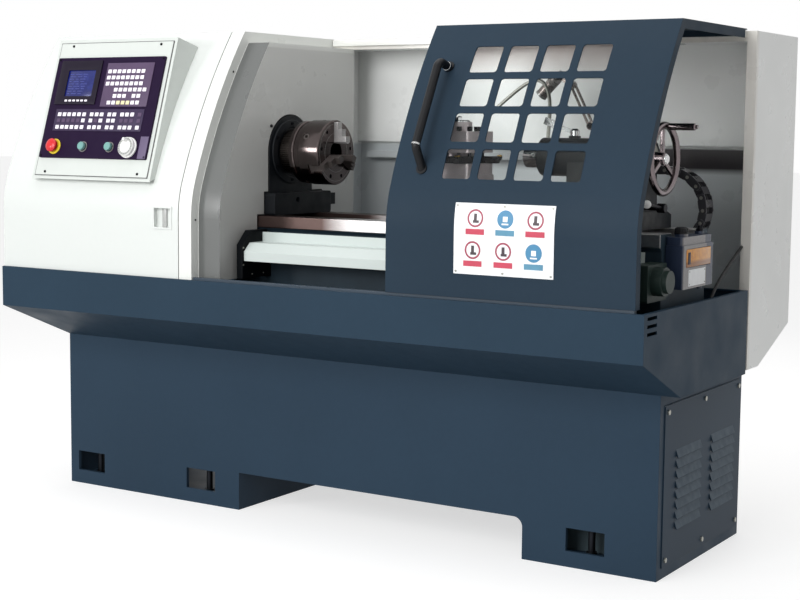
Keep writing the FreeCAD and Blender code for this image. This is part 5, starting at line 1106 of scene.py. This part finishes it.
def rod(bm, start, end, radius, edge=0.5, steps=24, inner=0):
    """A round bar from start to end with broken edges, or a sleeve with a bore."""
    start, end = Vector(start), Vector(end)
    length = (end - start).length
    outline = [(inner, 0), (radius - edge, 0), (radius, edge), (radius, length - edge),
               (radius - edge, length), (inner, length)]
    if inner:
        outline.append((inner, 0))
    turn = (end - start).to_track_quat("Z", "Y").to_matrix().to_4x4()
    moved(bm, Matrix.Translation(start) @ turn, turned, (0, 0, 0), "z", outline, steps)


def ball(bm, centre, radius):
    """A plain ball."""
    bmesh.ops.create_uvsphere(bm, u_segments=24, v_segments=14, radius=radius,
                              matrix=Matrix.Translation(centre))


piece("tail_clamp_lever", "black_oxide", "tool_steel",
      (rod, (2078, BOSS_Y, BOSS_Z), (2127, BOSS_Y, BOSS_Z), 7),
      (rod, (2124, BOSS_Y, BOSS_Z), (2148, BOSS_Y, BOSS_Z), 13, 1.5),
      (rod, (2137, BOSS_Y, BOSS_Z), BALL, 4.5), body="tailstock")
piece("tail_clamp_ball", "white_plastic", "dial_white", (ball, BALL, 11.5),
      (rod, BALL + Vector((0, 14, -1.9)), BALL + Vector((0, 6, -0.8)), 7), body="tailstock")
piece("wheel_nut", "bright_chrome", "bright_chrome",
      (turned, on_spindle(WHEEL_FACE), "x", [(0, 0), (13, 0), (13, 4), (11, 6), (0, 6)], 6),
      (ring, on_spindle(WHEEL_FACE), "x", 6, 14.5, -1, 2, 0.5), body="wheel")
piece("wheel_dial", "zinc_steel", "bright_chrome",
      (ring, on_spindle(DIAL_PLATE), "x", 25, 44, -0.5, 0.4, 0.2, 64),
      *[(disc, (DIAL_PLATE + 0.2, SPINDLE_Y + 40 * math.sin(a), SPINDLE_Z + 40 * math.cos(a)), "x",
         0.9, 0.5, 0.1, 8) for a in around(DIAL_MARKS)], body="tailstock")

tall_oiler = [(0, 0), (9, 0), (9, 4), (6, 5), (6, 11), (8, 12), (8, 16), (5, 20), (0, 21)]
low_oiler = [(0, 0), (7, 0), (7, 4), (4, 5), (4, 10), (0, 11)]
clamp_nut = [(0, 0), (15, 0), (15, 6), (9, 7), (9, 20), (0, 20)]
piece("tail_oilers", "brass", "zinc_steel",
      *[(turned, (x, 400, 1189), "z", tall_oiler, 20) for x in (1930, 2020)], body="tailstock")
piece("saddle_oilers", "brass", "zinc_steel",
      *[(turned, (x, y, 975), "z", low_oiler, 16) for x in (1452, 1668) for y in (257, 552)],
      body="carriage")
piece("tail_clamp_nuts", "black_oxide", "zinc_steel",
      *[(turned, (x, y, 975), "z", clamp_nut, 6) for x in (1880, 2060) for y in (285, 523)],
      body="tailstock")
print(DIAL_MARKS, "marks behind the handwheel")

# %% [markdown]
# ## The door's handle
#
# The handle is a bent black tube with a bright collar near each bend: a sleeve low on the straight
# bar, and one on the short piece that leads to the upper foot. Each is laid along its own line, so
# that it sits square on the tube.

# %% Handle collars
HANDLE_X = 1565
BAR_LOW = Vector((HANDLE_X, 15.5, 1166.6))
BAR_HIGH = Vector((HANDLE_X, 134.7, 1399.3))
FOOT_HIGH = Vector((HANDLE_X, 197.8, 1379.9))
COLLAR_WIDE = 5


def collar(start, end, away):
    """A sleeve on the handle's tube, away from start towards end."""
    way = (end - start).normalized()
    return (rod, start + way * away, start + way * (away + COLLAR_WIDE), 13, 0.6, 32, 11.8)


piece("handle_collars", "bright_chrome", "bright_chrome",
      collar(BAR_LOW, BAR_HIGH, 2), collar(FOOT_HIGH, BAR_HIGH, 18), body="door")
print("the handle's straight bar is", round((BAR_HIGH - BAR_LOW).length), "mm long")

# %% [markdown]
# ## Lamp, coolant pipe and cable chain
#
# The work lamp is a slim metal tube: cooling rings behind, a bright rim and a frosted lens in
# front. The coolant pipe is rigid, bent once and clamped to the saddle, so it rides with the
# carriage. The chain's cables are fixed at both ends and lie in its links, so plain bent bars do
# for them.

# %% Lamp lens, rim and rings
LAMP_REAR = Vector((1656, 693, 1375))
LAMP_AIM = Vector((-math.sqrt(0.5), 0, -math.sqrt(0.5)))
COOLING_RINGS = 4


def sleeve(start, end, radius, *more):
    """A rod or sleeve on the lamp's axis, between two distances from the rear of its head."""
    return (rod, LAMP_REAR + LAMP_AIM * start, LAMP_REAR + LAMP_AIM * end, radius, *more)


piece("lamp_lens", "white_plastic", "pane_clear", sleeve(70, 75, 14.8, 1), body="lamp")
piece("lamp_rings", "rail_steel", "lamp_black", sleeve(77, 85, 19, 0.8, 32, 15.2),
      *[sleeve(8 + 7 * k, 11 + 7 * k, 19, 0.8, 32, 17) for k in range(COOLING_RINGS)], body="lamp")
print(COOLING_RINGS, "cooling rings behind the lamp's rim")

# %% Coolant pipe on the saddle
PIPE_Y = 640

piece("coolant_clamp", "black_oxide", "zinc_steel",
      (block, (1660, 560, 974), (1686, 594, 1002), 3), (screw, (1673, 569, 1001), "z", 4, 3),
      (rod, (1473, PIPE_Y, 1277), (1455, PIPE_Y, 1263), 6.5, 1, 24, 3), body="carriage")
hose("coolant_pipe", "zinc_steel", 5.5,
     [(1673, 582, 990), (1673, 582, 1060), (1673, 590, 1180), (1668, 625, 1320),
      (1620, PIPE_Y, 1372), (1561, PIPE_Y, 1346), (1515, PIPE_Y, 1310), (1470, PIPE_Y, 1275)],
     body="carriage")
print("the coolant pipe ends", PIPE_Y - SPINDLE_Y, "mm behind the spindle's axis")

# %% Chain pins and cables
CHAIN_X, CHAIN_Z = 2052, 990
CHAIN_REACH = 110
CHAIN_UPPER = CHAIN_X - 1860
CHAIN_LOWER = CHAIN_X - 1930
CHAIN_BEND = math.pi * CHAIN_REACH
CHAIN_LENGTH = CHAIN_UPPER + CHAIN_BEND + CHAIN_LOWER
CHAIN_LINKS = 18
CABLE_POINTS = 24


def on_chain(share, y):
    """A point on the chain's middle line, at a share of its length from the upper end."""
    past = CHAIN_LENGTH * share - CHAIN_UPPER
    if past <= 0:
        return (CHAIN_X + past, y, CHAIN_Z + CHAIN_REACH)
    if past <= CHAIN_BEND:
        turn = past / CHAIN_REACH
        return (CHAIN_X + CHAIN_REACH * math.sin(turn), y, CHAIN_Z + CHAIN_REACH * math.cos(turn))
    return (CHAIN_X - past + CHAIN_BEND, y, CHAIN_Z - CHAIN_REACH)


piece("chain_pins", "zinc_steel", "zinc_steel",
      *[(disc, on_chain(link / CHAIN_LINKS, 600.5), "y", 4.5, -2, -0.6, 16)
        for link in range(1, CHAIN_LINKS)])
for cable, y in enumerate((613, 627, 641)):
    hose("chain_cable_%d" % cable, "seal_rubber", 4,
         [on_chain(k / CABLE_POINTS, y) for k in range(CABLE_POINTS + 1)])
print("chain", round(CHAIN_LENGTH), "mm long with", CHAIN_LINKS, "links")

# %% [markdown]
# ## The machine's back
#
# Whoever plugs the machine in sees its back. The cabinet's door has quarter-turn latches and rows
# of vents, the main switch sits on a yellow ring, as isolators do, and the sheets are screwed on.
# The motor has its fan guard and conduit, the pump its riser.

# %% Latches, vents, switch ring and screws
LEAF_FACE = 1116
CABINET_BACK = 1097.5
LATCH_X = 1035

vents = [(330 + column * 170, 770 + row * 17) for column in range(3) for row in range(9)]
latches = []
for z in (840, 1075, 1310):
    grip = ((LATCH_X - 10, LEAF_FACE + 3, z - 3), (LATCH_X + 10, LEAF_FACE + 8, z + 3))
    latches += [(disc, (LATCH_X, LEAF_FACE - 0.5, z), "y", 13, 4, 1.2), (block, *grip, 1.2)]
piece("leaf_latches", "black_plastic", "switch_black", *latches, body="cabinet_leaf")
piece("leaf_vents", "cabinet_cream", "leaf_paint",
      *[(block, (x, LEAF_FACE - 0.5, z), (x + 140, LEAF_FACE + 4, z + 7), 2, 3) for x, z in vents],
      body="cabinet_leaf")
piece("switch_ring", "ring_yellow", "switch_black",
      (ring, (1400, CABINET_BACK + 0.5, 1250), "y", 25.5, 44, -0.5, 1.2, 0.3, 48))
piece("cabinet_screws", "zinc_steel", "zinc_steel",
      *[(screw, (x, CABINET_BACK, z), "y", 5, 3)
        for x in range(1120, 2201, 180) for z in (710, 1475)])
print("vents in the cabinet's door:", len(vents))

# %% Motor fan guard, conduit and pump riser
MOTOR_END = (560, 400, 300)
SPOKES_FROM = (562, 400, 300)
GUARD_SCREWS_FROM = (559, 400, 300)
CONDUIT = (387, 400)
RISER = (1940, 710)


def upright(place, low, high, radius, *more):
    """A rod that stands at a place, between two heights."""
    return (rod, (*place, low), (*place, high), radius, *more)


piece("motor_fan_guard", "black_plastic", "motor_black",
      *[(ring, MOTOR_END, "x", radius, radius + 4, 1, 4, 0.8, 48) for radius in range(30, 106, 15)],
      *[(rod, SPOKES_FROM, on_circle(SPOKES_FROM, 104, angle), 2) for angle in around(6)],
      *[(screw, on_circle(GUARD_SCREWS_FROM, 109, angle), "x", 4.5, 4) for angle in around(4, 45)])
piece("conduit_and_riser", "zinc_steel", "zinc_steel",
      upright(CONDUIT, 455, 499, 13, 1), upright(CONDUIT, 458, 470, 18, 2, 6),
      upright(RISER, 450, 511, 11, 1), upright(RISER, 455, 470, 16, 2, 6))
print("the fan guard stands on the motor's end at", MOTOR_END[0], "mm")

# %% [markdown]
# ## Floor, room and light
#
# The machine stands in a white room, as in a catalogue. Strong lamps could make it white, but would
# burn out the cream and white sheets, so the white is given to the camera with the Light Path node,
# and the rays that light the machine see a soft grey room. Mirror rays and rays through glass see
# white too, so that steel has something to reflect and panes stay clear. The floor is diffuse, to
# keep the machine's shadow, with some of the same white added.

# %% Floor and room
ROOM_LIGHT = 0.5
FLOOR_PALE = (0.5, 0.5, 0.5, 1)
FLOOR_GLOW = 0.62
FLOOR_HALF = 40
WHITE = (1, 1, 1, 1)


def white_for_camera(tree):
    """Whether a ray should see white: from the camera, a mirror or through glass."""
    path = tree.nodes.new("ShaderNodeLightPath")
    seen = path.outputs["Is Camera Ray"]
    for kind in ("Is Glossy Ray", "Is Transmission Ray"):
        either = tree.nodes.new("ShaderNodeMath")
        either.operation = "MAXIMUM"
        tree.links.new(seen, either.inputs[0])
        tree.links.new(path.outputs[kind], either.inputs[1])
        seen = either.outputs[0]
    return seen


ground = Finish("floor_pale", (0, 0, 0), 0.9, shine=0.1)
glow = ground.times(white_for_camera(ground.tree), FLOOR_GLOW)
ground.feed(ground.shader, Base_Color=FLOOR_PALE, Emission_Color=WHITE, Emission_Strength=glow)

bm = bmesh.new()
bmesh.ops.create_grid(bm, x_segments=1, y_segments=1, size=FLOOR_HALF)
floor_mesh = bpy.data.meshes.new("floor")
bm.to_mesh(floor_mesh)
bm.free()
floor_mesh.materials.append(ground.material)
floor = bpy.data.objects.new("floor", floor_mesh)
scene.collection.objects.link(floor)

world = bpy.data.worlds.new("white_room")
scene.world = world
world.use_nodes = True
room = world.node_tree
background = room.nodes["Background"].inputs
sight = room.nodes.new("ShaderNodeMapRange")
sight.inputs["To Min"].default_value = ROOM_LIGHT
sight.inputs["To Max"].default_value = 1.0
room.links.new(white_for_camera(room), sight.inputs["Value"])
room.links.new(sight.outputs[0], background["Strength"])
background["Color"].default_value = WHITE
print("floor and room are white for the camera,", ROOM_LIGHT, "for light")

# %% [markdown]
# The photograph's light is broad and comes from in front, from a little above the roof: the end
# cover is darker than the front, and the door's lower lip has a soft shadow under it. One large
# area lamp does that, one above keeps tray and roof bright, and a weak one behind keeps the right
# edge off the white. The bright band on the chuck mirrors a small square lamp at the left.

# %% Lamps
def lamp(name, place, target, size, power):
    """A square area lamp that looks at a target."""
    data = bpy.data.lights.new(name, "AREA")
    data.shape = "SQUARE"
    data.size = size
    data.energy = power
    made = bpy.data.objects.new(name, data)
    made.location = place
    made.rotation_euler = (Vector(target) - Vector(place)).to_track_quat("-Z", "Y").to_euler()
    scene.collection.objects.link(made)


MIDDLE = (0, 0, 0.9)
lamp("front_lamp", (0.1, -4.6, 2.4), (0, 0, 1.0), 2.6, 138)
lamp("chuck_lamp", (-2.65, -4.35, 1.75), (-0.13, -0.26, 1.136), 0.9, 48)
lamp("top_lamp", (-0.2, -0.6, 4.4), MIDDLE, 3.0, 45)
lamp("back_lamp", (0.2, 3.6, 3.0), MIDDLE, 2.0, 25)
print(len(bpy.data.lights), "area lamps")

# %% [markdown]
# ## The camera
#
# The photograph was taken from the right at about chest height, with a long lens. The camera's
# place, turn and focal length were fitted to points whose real places are known, such as the
# corners of the tray and of the base.

# %% Camera
CAMERA_PLACE = (2.666, -4.158, 1.218)
CAMERA_TURNS = ((32.14, "Z"), (83.99, "X"), (0.529, "Z"))

camera_data = bpy.data.cameras.new("camera")
camera_data.lens = 70.28
camera_data.sensor_width = 36
camera_data.shift_x = -0.0003
camera_data.shift_y = -0.0114
camera = bpy.data.objects.new("camera", camera_data)
stand = Matrix.Translation(CAMERA_PLACE)
for degrees, axis in CAMERA_TURNS:
    stand = stand @ Matrix.Rotation(math.radians(degrees), 4, axis)
camera.matrix_world = stand
scene.collection.objects.link(camera)
scene.camera = camera
scene.view_settings.view_transform = "Standard"
print("lens", camera_data.lens, "mm")

# %% [markdown]
# ## The scene is set

print("the scene is set")
